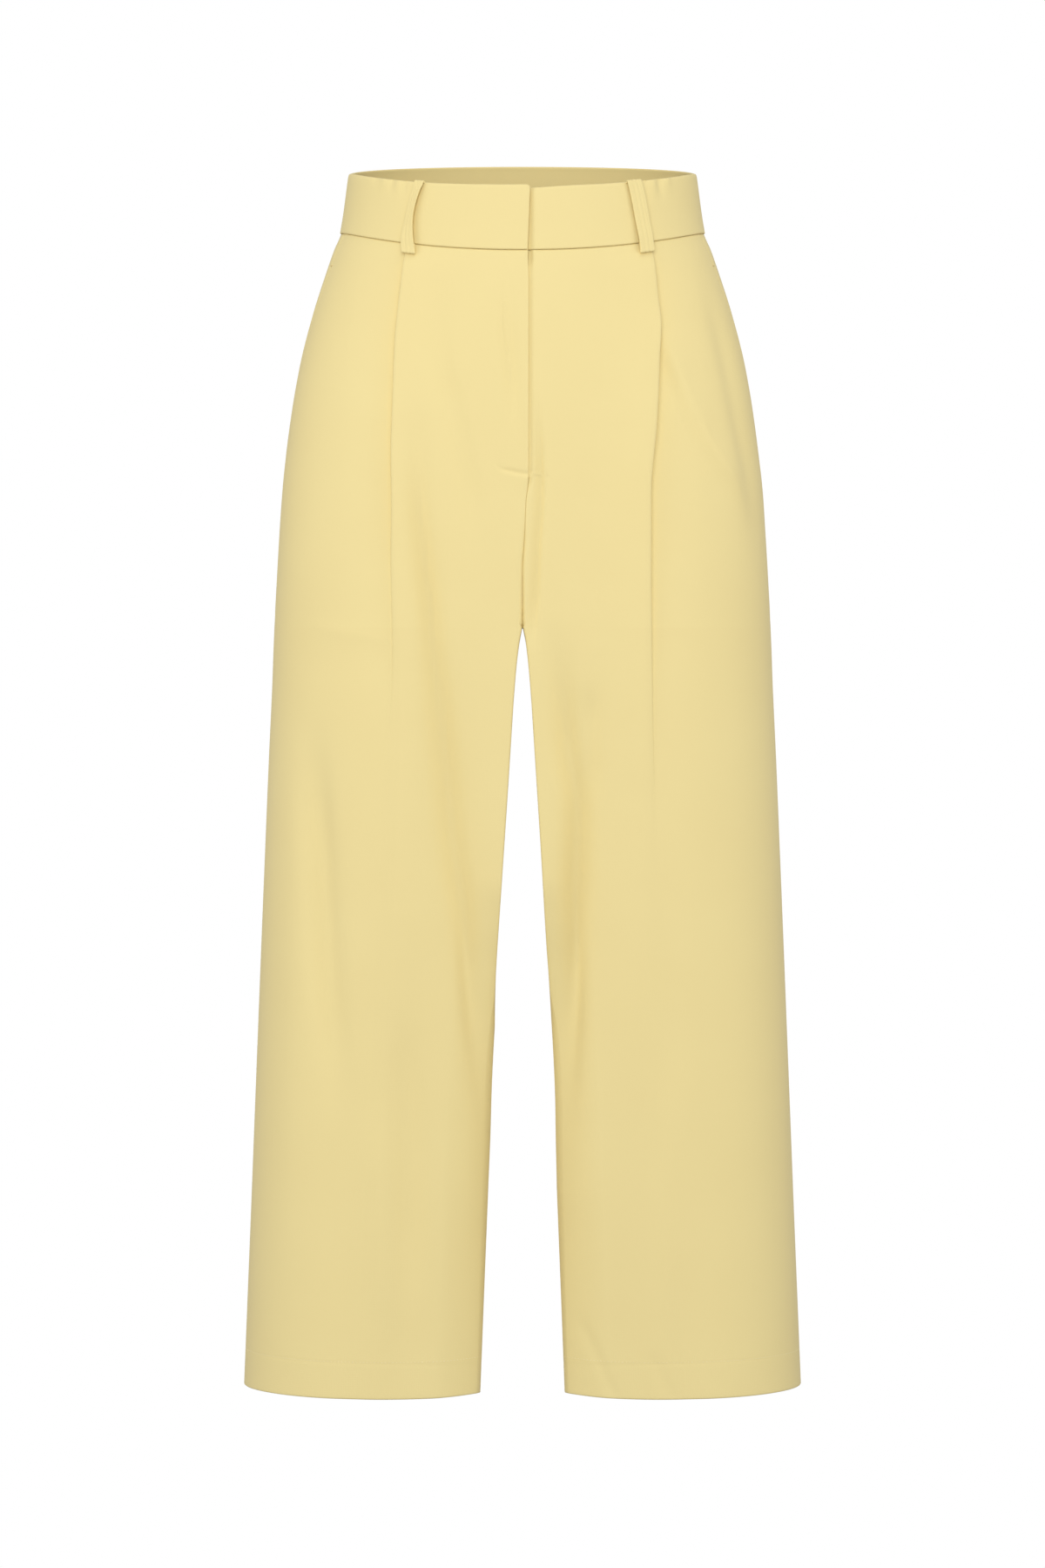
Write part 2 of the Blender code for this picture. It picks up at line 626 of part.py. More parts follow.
def zip_strip(material):
    """The closed zip's tape, behind the closing line of the fly."""
    outer = []
    inner = []
    height = -2.0 * (CLOTH + LAYER_GAP)
    for drop in ZIP_DROPS:
        ring = HalfRing(drop, FRONT)
        closing = table_value(CLOSING, "shift", drop)
        alongs = list(np.linspace(closing - 2.0 * ZIP_HALF_WIDTH, closing, ZIP_COLUMNS))
        levels = [level(ring, *ring.point(along, 0.0)) for along in alongs]
        levels = top_gap(levels, drop)
        outer.append(place_row(ring, "left", alongs, [height] * ZIP_COLUMNS, levels))
        inner.append(place_row(ring, "left", alongs, [height - ZIP_WALL] * ZIP_COLUMNS, levels))
    return cloth_wall("zip", outer, inner, material)


def band_levels(ring, share, y):
    """Height z of the waistband at a share of its height."""
    part = ring.round_share(y)
    if ring.face == FRONT:
        top = -TOP_DIP_FRONT * part**TOP_DIP_POWER
        bottom = -BAND_HEIGHT - SEAM_DIP_FRONT * part**SEAM_DIP_POWER
    else:
        top = TOP_RISE_BACK * part
        bottom = -BAND_HEIGHT + TOP_RISE_BACK * part
    return top + (bottom + SEAM_GAP / 2.0 - top) * share


def band_row(row, side, face, alongs, extra_heights):
    """Outer and inner points of one row of a waistband piece."""
    ring = HalfRing(row.share * BAND_HEIGHT, face)
    heights = [row.puff + extra for extra in extra_heights]
    levels = [band_levels(ring, row.share, ring.point(along, 0.0)[1]) for along in alongs]
    wall_heights = [height - BAND_WALL for height in heights]
    outer = place_row(ring, side, alongs, heights, levels)
    inner = place_row(ring, side, alongs, wall_heights, levels)
    return outer, inner


def band_front(side, material):
    """A front of the waistband; the right one laps over the left one's tongue."""
    outer = []
    inner = []
    closing = table_value(CLOSING, "shift", BAND_HEIGHT)
    for row in BAND_ROWS:
        ring = HalfRing(row.share * BAND_HEIGHT, FRONT)
        if side == "right":
            start = -closing
            reach = BAND_LAP_REACH
            alongs = [start, start + 0.5 * reach]
            alongs += list(np.linspace(start + reach, ring.length, BAND_FRONT_COLUMNS))
            extra = [BAND_LAP_RISE * (1.0 - smooth_step((along - start) / reach)) for along in alongs]
        else:
            dip = BAND_WALL + LAYER_GAP
            reach = BAND_DIP_REACH
            alongs = [closing - BAND_UNDERLAP, closing - reach, closing, closing + 0.5 * reach]
            alongs += list(np.linspace(closing + reach + 1.0, ring.length, BAND_FRONT_COLUMNS))
            extra = [-dip * (1.0 - smooth_step((along - closing - 0.6) / reach)) for along in alongs]
        points, wall_points = band_row(row, side, FRONT, alongs, extra)
        outer.append(points)
        inner.append(wall_points)
    return cloth_wall("waistband_front_" + side, outer, inner, material)


def band_back(material):
    """The waistband's back, from one side seam to the other."""
    outer = []
    inner = []
    for row in BAND_ROWS:
        ring = HalfRing(row.share * BAND_HEIGHT, BACK)
        alongs = list(np.linspace(0.0, ring.length, BAND_BACK_COLUMNS))
        none = [0.0] * BAND_BACK_COLUMNS
        left, wall_left = band_row(row, "left", BACK, alongs, none)
        right, wall_right = band_row(row, "right", BACK, alongs, none)
        outer.append(right[:0:-1] + left[1:])
        inner.append(wall_right[:0:-1] + wall_left[1:])
    return cloth_wall("waistband_back", outer, inner, material)


def belt_loop(loop, material):
    """A folded strip of cloth from the band's top edge to just under the seam."""
    outer = []
    inner = []
    half = LOOP_WIDTH / 2.0
    length = BAND_HEIGHT + loop.top_above + LOOP_END_BELOW_SEAM
    for row in LOOP_ROWS:
        reach = row.share * length - loop.top_above
        drop = max(reach, 0.0)
        ring = HalfRing(drop, loop.face)
        across = loop.top_across + (loop.bottom_across - loop.top_across) * row.share
        middle = ring.along_at(across)
        alongs = [middle - half, middle, middle + half]
        leaving = (row.share - LOOP_LEAVES_BAND) / (LOOP_ON_PANEL - LOOP_LEAVES_BAND)
        base = LOOP_BAND_BASE + (loop.lower_base - LOOP_BAND_BASE) * smooth_step(leaving)
        top = base + SEAM_GAP + LOOP_WALL + row.stand_off
        levels = []
        for along in alongs:
            x, y = ring.point(along, 0.0)
            if drop <= BAND_HEIGHT:
                z = band_levels(ring, drop / BAND_HEIGHT, y)
            else:
                z = level(ring, x, y)
            levels.append(z + max(0.0, -reach))
        heights = [top - LOOP_EDGE_DROP, top, top - LOOP_EDGE_DROP]
        outer.append(place_row(ring, loop.side, alongs, heights, levels))
        inner.append(place_row(ring, loop.side, alongs, [top - LOOP_WALL] * 3, levels))
    return cloth_wall(loop.name, outer, inner, material)


def main():
    """Clear the scene and build every piece."""
    for item in list(bpy.data.objects):
        bpy.data.objects.remove(item, do_unlink=True)
    for side in ("right", "left"):
        front_panel(side, cloth_material("front_" + side, CLOTH_COLOUR, 0.85))
        back_panel(side, cloth_material("back_" + side, CLOTH_COLOUR, 0.85))
        band_front(side, cloth_material("waistband_front_" + side, BAND_COLOUR, 0.82))
        pocket(side, cloth_material("pocket_" + side, POCKET_COLOUR, 0.88))
    band_back(cloth_material("waistband_back", BAND_COLOUR, 0.82))
    zip_strip(cloth_material("zip", TAPE_COLOUR, 0.7))
    for loop in LOOPS:
        belt_loop(loop, cloth_material(loop.name, BAND_COLOUR, 0.82))


main()
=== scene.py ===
"""Looks of the wide-leg culottes: cloth, folds, sewing, zip, light and camera.

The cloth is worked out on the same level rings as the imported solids, with many more rows and
columns. A point of a piece is given by how far it lies along a half ring, from the centre line
(the inseam below the crotch) to the side seam, and by its height, the distance that it stands out
from the ring. Pleats, folds, creases, rolled seams and turned edges are all heights.

Sizes are in millimetres until a mesh is made. +Z is up, the front faces -Y and the wearer's right
is at -X. Across is the distance from the centre plane and level the distance under the waist.
"""

import logging
import math
from dataclasses import dataclass
from enum import Enum
from typing import Any, Sequence

import bmesh
import bpy
import numpy as np
from bpy.types import Material, Mesh, NodeSocket, NodeTree, Object
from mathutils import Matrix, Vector

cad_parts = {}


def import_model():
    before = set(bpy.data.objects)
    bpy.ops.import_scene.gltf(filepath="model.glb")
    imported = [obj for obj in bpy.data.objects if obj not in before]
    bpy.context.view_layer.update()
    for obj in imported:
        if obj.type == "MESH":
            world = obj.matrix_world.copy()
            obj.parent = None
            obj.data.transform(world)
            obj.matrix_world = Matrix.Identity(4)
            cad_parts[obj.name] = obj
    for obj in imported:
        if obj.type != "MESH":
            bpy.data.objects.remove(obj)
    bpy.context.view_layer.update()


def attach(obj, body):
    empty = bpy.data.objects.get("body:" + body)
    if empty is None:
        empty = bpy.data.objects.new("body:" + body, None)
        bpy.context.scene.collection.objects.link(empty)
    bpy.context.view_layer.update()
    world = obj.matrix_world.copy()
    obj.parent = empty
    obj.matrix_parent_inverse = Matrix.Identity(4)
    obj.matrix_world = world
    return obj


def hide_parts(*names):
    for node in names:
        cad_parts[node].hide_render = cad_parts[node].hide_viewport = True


LOG = logging.getLogger("culottes")
MM = 0.001
UV_NAME = "cloth"

# --- Sizes shared by several pieces ---

BAND_HEIGHT = 45.6
CROTCH_DROP = 343.2
HEM_DROP = 916.0
HEM_TURN = 28.0
STITCH_LINE = 27.5
SEAM_GAP = 0.02
CLOTH = 0.7
BAND_CLOTH = 0.6
TAPE = 0.6

Array = np.ndarray
Numbers = float | Array
Path = tuple[tuple[float, float], ...]
# Where something begins to rise, and over what length; or its two ends.
Span = tuple[float, float]
# Places and heights, or points and directions, along a run of stitches or a row.
Run = tuple[Array, Array]
# Three measures of each row, or of each point of a row.
Levels = tuple[Array, Array, Array]


class Side(Enum):
    """The wearer's side of a piece; the value is the sign of x."""

    RIGHT = -1.0
    LEFT = 1.0

    @property
    def word(self) -> str:
        """The side's word in a node's name."""
        return self.name.lower()


class Face(Enum):
    """Front or back of the garment; the value is the sign of y."""

    FRONT = -1.0
    BACK = 1.0


class Hold(Enum):
    """How a cut piece of cloth is held."""

    HUNG = "hung"
    FOLDED = "folded"
    STRETCHED = "stretched"


# --- Curves and rings ---


class Curve:
    """A smooth curve through points, which never overshoots them."""

    def __init__(self, points: Sequence[tuple[float, float]]) -> None:
        """Set the curve up.

        Args:
            points: place and value of each point, with rising places.
        """
        self.places = np.array([point[0] for point in points], float)
        self.values = np.array([point[1] for point in points], float)
        slopes = np.diff(self.values) / np.diff(self.places)
        self.tangents = np.zeros(len(points))
        self.tangents[0] = slopes[0]
        self.tangents[-1] = slopes[-1]
        for i in range(1, len(points) - 1):
            if slopes[i - 1] * slopes[i] > 0.0:
                self.tangents[i] = 2.0 * slopes[i - 1] * slopes[i] / (slopes[i - 1] + slopes[i])

    def __call__(self, place: Numbers) -> Numbers:
        """Value of the curve.

        Args:
            place: one place or an array of them; outside the points the end value holds.

        Returns:
            The value at each place.
        """
        place = np.clip(place, self.places[0], self.places[-1])
        i = np.clip(np.searchsorted(self.places, place, side="right") - 1, 0, len(self.places) - 2)
        span = self.places[i + 1] - self.places[i]
        t = (place - self.places[i]) / span
        low = self.values[i] * (1.0 + 2.0 * t) * (1.0 - t) ** 2
        low = low + span * self.tangents[i] * t * (1.0 - t) ** 2
        high = self.values[i + 1] * t * t * (3.0 - 2.0 * t)
        return low + high - span * self.tangents[i + 1] * t * t * (1.0 - t)


def smooth_step(value: Numbers) -> Numbers:
    """0 below 0, 1 above 1 and a smooth rise between."""
    t = np.clip(value, 0.0, 1.0)
    return t * t * (3.0 - 2.0 * t)


def rise(value: Numbers, span: Span) -> Numbers:
    """0 up to the span's start, then a smooth rise to 1 over the span's length."""
    return smooth_step((value - span[0]) / span[1])


def run_lengths(x: Array, y: Array) -> Array:
    """How far along a line each of its points lies."""
    return np.concatenate([[0.0], np.cumsum(np.hypot(np.diff(x), np.diff(y)))])


# Level rings: drop, half width, half gap between the legs, ridge, front and back depth, fullness.
RINGS = (
    (0, 131.2, -400, 0, 100, 98, 2.05),
    (45.6, 137.6, -400, 0, 104.5, 106, 2.1),
    (58, 142.7, -400, 0, 106.2, 109.6, 2.14),
    (75, 148.6, -400, 0, 108, 114, 2.18),
    (105, 158.2, -400, 0, 110.6, 120.5, 2.24),
    (145, 168.4, -400, 0, 112.8, 125.8, 2.32),
    (185, 175.2, -340, 2, 113.8, 128.4, 2.36),
    (230, 180.8, -220, 9, 114, 128.2, 2.38),
    (262, 183.3, -130, 19, 113.8, 126.4, 2.38),
    (290, 185, -62, 31, 113.4, 124.4, 2.36),
    (312, 186.2, -27, 41, 112.9, 122.6, 2.32),
    (328, 187.1, -9.6, 48, 112.5, 121, 2.28),
    (338, 187.5, -2.4, 52, 112.2, 120, 2.26),
    (343.2, 187.8, 0, 54, 112, 119.4, 2.25),
    (362, 188.6, 3.2, 60, 111.3, 117.6, 2.22),
    (385, 189.4, 5.3, 66, 110.4, 115.6, 2.2),
    (440, 191.9, 8.9, 77, 108.2, 111.2, 2.15),
    (520, 195.2, 13.9, 89, 104.8, 106.4, 2.1),
    (600, 198.4, 18, 98, 101.6, 102.6, 2.07),
    (700, 202.3, 22.6, 107, 98.4, 99.6, 2.04),
    (800, 206.2, 26.8, 114, 96, 97.4, 2),
    (916, 210.9, 31.1, 121, 94, 95.5, 2),
)

# The inner leg, where the cloth hangs flat up to a sharp edge in front: drop, fullness of the front
# rings on the centre side of the ridge, how much further from the centre the inseam lies than that
# edge, and the share of the depth that the edge is turned back.
INNER_LEG = (
    (0, 2.05, 0, 0), (185, 2.36, 0, 0), (230, 2.6, 0, 0), (262, 3.6, 0, 0),
    (290, 6.5, 0, 0), (312, 14, 0, 0), (343.2, 60, 0, 0), (385, 90, 1.2, 0),
    (440, 90, 2.4, 0), (530, 80, 3, 0), (560, 75, 3, 0.05), (600, 70, 3, 0.15),
    (640, 60, 3, 0.22), (720, 55, 3, 0.24), (916, 40, 3, 0.21),
)
# How far from the inner edge the turn reaches, and how steeply it grows towards the edge.
INNER_TURN = 34.0
INNER_TURN_POWER = 1.7

# How far the front closing line lies past the centre, and the pocket mouth in front of the seam.
CLOSING = Curve(((45.6, 4.6), (229, 4.4), (250, 2.6), (276, 1.6), (304, 0), (916, 0)))
MOUTH = Curve(((45.6, 28), (85, 27), (110, 22), (180, 9), (236, 0), (916, 0)))


class HalfRing:
    """One level half ring of the garment, from the centre line to the side seam."""

    SAMPLES = 400
    INNER_SAMPLES = 60
    TINY = 1e-9
    FACING = 0.707

    def __init__(self, drop: float, face: Face, sizes: Sequence[float]) -> None:
        """Work the ring out.

        Args:
            drop: how far the ring lies under the waist at the side.
            face: front or back half of the garment.
            sizes: half width, half gap, ridge, front and back depth and fullness, then fullness,
                setback and turn of the inner leg.
        """
        self.drop = drop
        self.face = face
        self.half_width, half_gap, ridge, front_depth, back_depth, outer_full = sizes[:6]
        inner_full, setback, turn = sizes[6:]
        self.joined = half_gap < 0.0
        self.depth = front_depth
        if face is Face.BACK:
            self.depth = back_depth
            inner_full = outer_full
            half_gap += setback
        inner_reach = ridge - half_gap
        last = math.acos(-(min(ridge / inner_reach, 1.0) ** (inner_full / 2.0)))
        near = np.arccos(-(np.linspace(0.0, 1.0, self.INNER_SAMPLES) ** (inner_full / 2.0)))
        angle = np.union1d(np.linspace(0.0, last, self.SAMPLES), near[near < last])[::-1]
        inside = np.cos(angle) < 0.0
        fullness = np.where(inside, inner_full, outer_full)
        cosine = np.sign(np.cos(angle)) * np.abs(np.cos(angle)) ** (2.0 / fullness)
        sine = np.where(np.sin(angle) > self.TINY, np.sin(angle), 0.0) ** (2.0 / fullness)
        self.x = ridge + np.where(inside, inner_reach, self.half_width - ridge) * cosine
        if face is Face.FRONT and not self.joined:
            bend = np.clip(1.0 - (self.x - half_gap) / INNER_TURN, 0.0, 1.0)
            self.x = self.x + np.where(inside, setback * (1.0 - sine), 0.0)
            sine = sine * (1.0 - turn * bend**INNER_TURN_POWER)
        self.y = face.value * self.depth * sine
        self.along = run_lengths(self.x, self.y)
        self.length = float(self.along[-1])
        self.inner_end = float(self.x[0])
        slope_x = np.gradient(self.x, self.along)
        slope_y = np.gradient(self.y, self.along)
        size = np.hypot(slope_x, slope_y)
        self.normal_x = -face.value * slope_y / size
        self.normal_y = face.value * slope_x / size
        facing = np.nonzero(self.normal_y * face.value > self.FACING)[0]
        self.corner = float(self.along[facing[0]])

    def along_at(self, across: float) -> float:
        """Place along the ring where it lies this far from the centre plane."""
        return float(np.interp(across, self.x, self.along))

    def point(self, along: Array, height: Numbers, straight: Numbers = 0.0) -> tuple:
        """Points of the ring in its own half.

        Args:
            along: places along the ring; a negative one is past the centre, on the other side.
            height: how far each stands out.
            straight: 1 where it stands out along y instead of square to the ring.

        Returns:
            x and y of the points.
        """
        place = np.abs(along)
        flip = np.where(along < 0.0, -1.0, 1.0)
        normal_x = np.interp(place, self.along, self.normal_x) * (1.0 - straight)
        normal_y = np.interp(place, self.along, self.normal_y)
        normal_y = normal_y + (self.face.value - normal_y) * straight
        x = np.interp(place, self.along, self.x) + height * normal_x
        y = np.interp(place, self.along, self.y) + height * normal_y
        return flip * x, y

    def round_share(self, y: Numbers) -> Numbers:
        """0 at the side seam and 1 where the ring is deepest."""
        return np.minimum(np.abs(y) / self.depth, 1.0)


@dataclass
class GarmentForm:
    """The hanging form of the whole garment, and how its level lines dip and lift."""

    top_dip_front: float = 20.0
    top_dip_power: float = 1.4
    top_rise_back: float = 17.0
    seam_dip_front: float = 22.0
    seam_dip_power: float = 1.7
    dip_end_drop: float = 330.0
    arch_dip: float = 3.8
    arch_start: Span = (300.0, 40.0)
    arch_end: Span = (350.0, 60.0)
    hem_inner_drop: float = 5.5
    leg_lift: float = 0.5
    hem_lift: float = 7.3
    hem_lift_span: Span = (720.0, 190.0)
    hem_lift_reach: float = 38.0

    def __post_init__(self) -> None:
        """Set up the curves that the level rings are read from."""
        self.curves = [Curve([(row[0], row[i]) for row in RINGS]) for i in range(1, 7)]
        self.curves += [Curve([(row[0], row[i]) for row in INNER_LEG]) for i in range(1, 4)]
        self.rings: dict[tuple[float, Face], HalfRing] = {}

    def ring(self, drop: float, face: Face) -> HalfRing:
        """The half ring at a drop, worked out once.

        Args:
            drop: how far it lies under the waist at the side.
            face: front or back.

        Returns:
            The half ring.
        """
        key = (round(float(drop), 4), face)
        if key not in self.rings:
            sizes = [float(curve(drop)) for curve in self.curves]
            self.rings[key] = HalfRing(float(drop), face, sizes)
        return self.rings[key]

    def panel_level(self, ring: HalfRing, along: Array) -> Array:
        """How far under the waist a panel's points lie.

        Args:
            ring: the half ring that they are on.
            along: their places along it.

        Returns:
            The level of each point.
        """
        x, y = ring.point(along, 0.0)
        share = ring.round_share(y)
        fade = 1.0 - rise(ring.drop, (BAND_HEIGHT, self.dip_end_drop - BAND_HEIGHT))
        leg = max(0.0, (ring.drop - CROTCH_DROP) / (HEM_DROP - CROTCH_DROP))
        inner = np.clip((ring.half_width - x) / (ring.half_width - ring.inner_end), 0.0, 1.0)
        arch = rise(ring.drop, self.arch_start) * (1.0 - rise(ring.drop, self.arch_end)) * self.arch_dip
        lift = 0.0
        if ring.face is Face.FRONT:
            dip = self.seam_dip_front * share**self.seam_dip_power
            if not ring.joined:
                near = np.exp((ring.inner_end - x) / self.hem_lift_reach)
                lift = self.hem_lift * rise(ring.drop, self.hem_lift_span)
                lift = (self.leg_lift + lift * near) * leg
        else:
            dip = -self.top_rise_back * share
            arch = -arch * inner * inner
        return ring.drop + dip * fade + self.hem_inner_drop * leg * inner + (arch - lift) * share

    def band_level(self, ring: HalfRing, share: float, along: Array) -> Array:
        """How far under the waist the waistband's points lie.

        Args:
            ring: the half ring that they are on.
            share: share of the band's height from its top.
            along: their places along the ring.

        Returns:
            The level of each point.
        """
        part = ring.round_share(ring.point(along, 0.0)[1])
        if ring.face is Face.FRONT:
            top = self.top_dip_front * part**self.top_dip_power
            bottom = BAND_HEIGHT + self.seam_dip_front * part**self.seam_dip_power
        else:
            top = -self.top_rise_back * part
            bottom = BAND_HEIGHT - self.top_rise_back * part
        return top + (bottom - top) * share


# --- Folds and creases ---


@dataclass(frozen=True)
class Crease:
    """A soft trough or ridge of the cloth, in millimetres.

    The path gives across and level of its points. A depth below zero is a trough. Lean below zero
    lifts the side towards the centre and lowers the other one. The widths are those of the bell
    on the centre side and on the side away from it.
    """

    path: Path
    depth: float
    width: float
    lean: float = 0.0
    outer_width: float = 0.0
    low_depth: float | None = None
    fade_in: float = 0.3
    fade_out: float = 0.35

    SAMPLES = 140
    REACH = 3.0

    def height(self, across: Array, level: Array) -> Array:
        """What the crease adds to the cloth.

        Args:
            across: distance of each point from the centre plane.
            level: how far each point lies under the waist.

        Returns:
            The height that it adds at each point.
        """
        points = np.array(self.path, float)
        places = run_lengths(points[:, 0], points[:, 1])
        samples = np.linspace(0.0, places[-1], self.SAMPLES)
        spine_x = Curve(list(zip(places, points[:, 0])))(samples)
        spine_y = Curve(list(zip(places, points[:, 1])))(samples)
        tangent_x = np.gradient(spine_x)
        tangent_y = np.gradient(spine_y)
        size = np.hypot(tangent_x, tangent_y)
        tangent_x /= size
        tangent_y /= size
        outer = self.outer_width or self.width
        reach = self.REACH * max(self.width, outer)
        near = (across > spine_x.min() - reach) & (across < spine_x.max() + reach)
        near &= (level > spine_y.min() - reach) & (level < spine_y.max() + reach)
        result = np.zeros(across.shape)
        if not near.any():
            return result
        x = across[near]
        y = level[near]
        nearest = np.argmin((x[:, None] - spine_x) ** 2 + (y[:, None] - spine_y) ** 2, axis=1)
        away_x = x - spine_x[nearest]
        away_y = y - spine_y[nearest]
        aside = away_x * tangent_y[nearest] - away_y * tangent_x[nearest]
        forward = away_x * tangent_x[nearest] + away_y * tangent_y[nearest]
        t = (samples[nearest] + forward) / places[-1]
        share = aside / np.where(aside > 0.0, outer, self.width)
        low = self.depth if self.low_depth is None else self.low_depth
        depth = self.depth + (low - self.depth) * np.clip(t, 0.0, 1.0)
        fade = smooth_step(t / self.fade_in) * smooth_step((1.0 - t) / self.fade_out)
        result[near] = (depth + self.lean * share) * np.exp(-share * share) * fade
        return result


@dataclass(frozen=True)
class Fold:
    """A long soft fold of the hanging leg, straight from one end to the other."""

    top_drop: float
    top_across: float
    bottom_drop: float
    bottom_across: float
    width: float
    depth: float

    def height(self, drop: Array, across: Array) -> Array:
        """What the fold adds to the cloth at each drop and distance across.

        Args:
            drop: drop of each point.
            across: its distance from the centre plane.

        Returns:
            The height that it adds at each point.
        """
        t = np.clip((drop - self.top_drop) / (self.bottom_drop - self.top_drop), 0.0, 1.0)
        middle = self.top_across + (self.bottom_across - self.top_across) * t
        reach = (across - middle) / self.width
        return self.depth * np.sin(math.pi * t) * np.exp(-reach * reach)


FOLDS: dict[tuple[Side, Face], tuple[Fold, ...]] = {
    (Side.RIGHT, Face.FRONT): (
        Fold(352, 62, 640, 22, 15, -4.2),
        Fold(380, 88, 900, 62, 22, 2.6),
        Fold(390, 138, 860, 142, 15, -1.6),
        Fold(560, 84, 912, 82, 14, -2.4),
        Fold(420, 160, 914, 176, 18, 1.8),
    ),
    (Side.LEFT, Face.FRONT): (
        Fold(360, 52, 760, 32, 15, -3.6),
        Fold(470, 78, 912, 66, 22, 2.4),
        Fold(100, 106, 226, 150, 15, -2.2),
        Fold(440, 134, 908, 150, 18, -1),
    ),
    (Side.RIGHT, Face.BACK): (
        Fold(300, 40, 620, 70, 18, -3.6),
        Fold(330, 92, 900, 108, 20, 3),
        Fold(420, 140, 900, 152, 18, -2.4),
    ),
    (Side.LEFT, Face.BACK): (
        Fold(296, 44, 650, 64, 18, -3.6),
        Fold(350, 98, 905, 112, 20, 2.8),
        Fold(440, 146, 890, 150, 18, -2.2),
    ),
}

CREASES: dict[tuple[Side, Face], tuple[Crease, ...]] = {
    (Side.RIGHT, Face.FRONT): (
        Crease(
            ((78, 150), (77, 190), (75.3, 246.4), (70.8, 294.7), (66.3, 333.3), (62.4, 375.8),
             (56.6, 438.8), (51.5, 494.2), (47, 528), (41, 564), (36, 610),
             (32.5, 660), (29, 730)),
            -4, 10, lean=-2.8, low_depth=-9.2, fade_out=0.25,
        ),
        Crease(((42, 560), (38, 640), (37, 719), (38, 830)), 0.8, 10, lean=0.5),
        Crease(
            ((66, 74), (60, 110), (59.8, 141.5), (50.8, 180.8), (42.5, 220), (37.3, 246.4),
             (33.5, 310)),
            -1.5, 10, lean=-1.2,
        ),
        Crease(
            ((77, 180), (75.3, 246.4), (70.8, 294.7), (66.3, 333.3), (62.4, 375.8), (57, 430)),
            -1.7, 4.5, lean=-1.3, outer_width=7, fade_in=0.4, fade_out=0.4,
        ),
        Crease(
            ((17, 62), (15.4, 84), (13.5, 115), (11.6, 141.5), (8.4, 180.8), (7.1, 214)),
            -2, 6, lean=0.8, fade_in=0.6,
        ),
        Crease(
            ((152, 400), (151, 473), (148, 523.8), (145, 586.8), (139, 650.5),
             (132, 730)),
            -6, 11, lean=-3, fade_out=0.5,
        ),
        Crease(((88.8, 620), (84.4, 713.6), (81.9, 777.3), (79, 860)), -1.9, 12, lean=-0.8),
        Crease(
            ((166, 344), (137, 354), (100, 359), (84, 358)),
            0, 6, lean=-0.7, outer_width=26,
        ),
        Crease(((112, 690), (104, 780), (98, 890)), 1.4, 14),
    ),
    (Side.LEFT, Face.FRONT): (
        Crease(
            ((11, 168), (12.2, 200), (13.5, 246), (11.6, 285.7), (9.7, 325), (6.4, 372)),
            -2.9, 5.2, outer_width=2.4, fade_in=0.35, fade_out=0.25,
        ),
        Crease(
            ((19.3, 335), (26.4, 375.8), (32.8, 438.8), (38.3, 481.3), (37.6, 523.8), (35.6, 565),
             (33, 610), (31, 670), (29, 740)),
            -7.6, 10, lean=-2.8, low_depth=-9.6, fade_in=0.25, fade_out=0.4,
        ),
        Crease(((49.5, 385), (51.5, 480)), -2, 7),
        Crease(
            ((98, 100), (107, 126), (119.3, 156.3), (137.7, 199.5), (156.4, 231),
             (176, 272)),
            4, 7, lean=-4.2, outer_width=24,
        ),
        Crease(((134, 80), (151.2, 140.3), (164.1, 207.2), (178, 300)), -2.3, 6.5),
        Crease(((40, 850), (56, 884), (72, 922)), -0.6, 5, lean=0.4, fade_out=0.15),
        Crease(((94, 880), (112, 921)), -0.5, 5, fade_out=0.15),
        Crease(((42, 600), (44, 719), (45, 830)), 0.4, 10, lean=0.2),
        Crease(((118, 640), (112, 760), (108, 890)), 1.2, 14),
    ),
    (Side.RIGHT, Face.BACK): (
        Crease(((4, 352), (30, 372), (62, 410), (86, 470)), -1.8, 8, lean=0.8),
        Crease(((26, 470), (44, 560), (46, 690), (40, 820)), -1.6, 10, lean=-0.5),
        Crease(((120, 300), (112, 392), (116, 500), (124, 610)), -1, 10, lean=0.5),
        Crease(((70, 250), (100, 276), (132, 290)), -0.6, 8),
        Crease(((82, 640), (88, 740), (84, 860)), 1, 12),
    ),
    (Side.LEFT, Face.BACK): (
        Crease(((4, 350), (34, 366), (70, 398), (92, 452)), -1.6, 8, lean=0.7),
        Crease(((30, 500), (40, 610), (47, 730), (44, 850)), -1.5, 10, lean=-0.5),
        Crease(((128, 320), (120, 410), (118, 540)), -1, 9, lean=0.4),
        Crease(((64, 262), (92, 290), (120, 306)), -0.6, 8),
        Crease(((96, 600), (90, 720), (94, 850)), 0.9, 12),
    ),
}

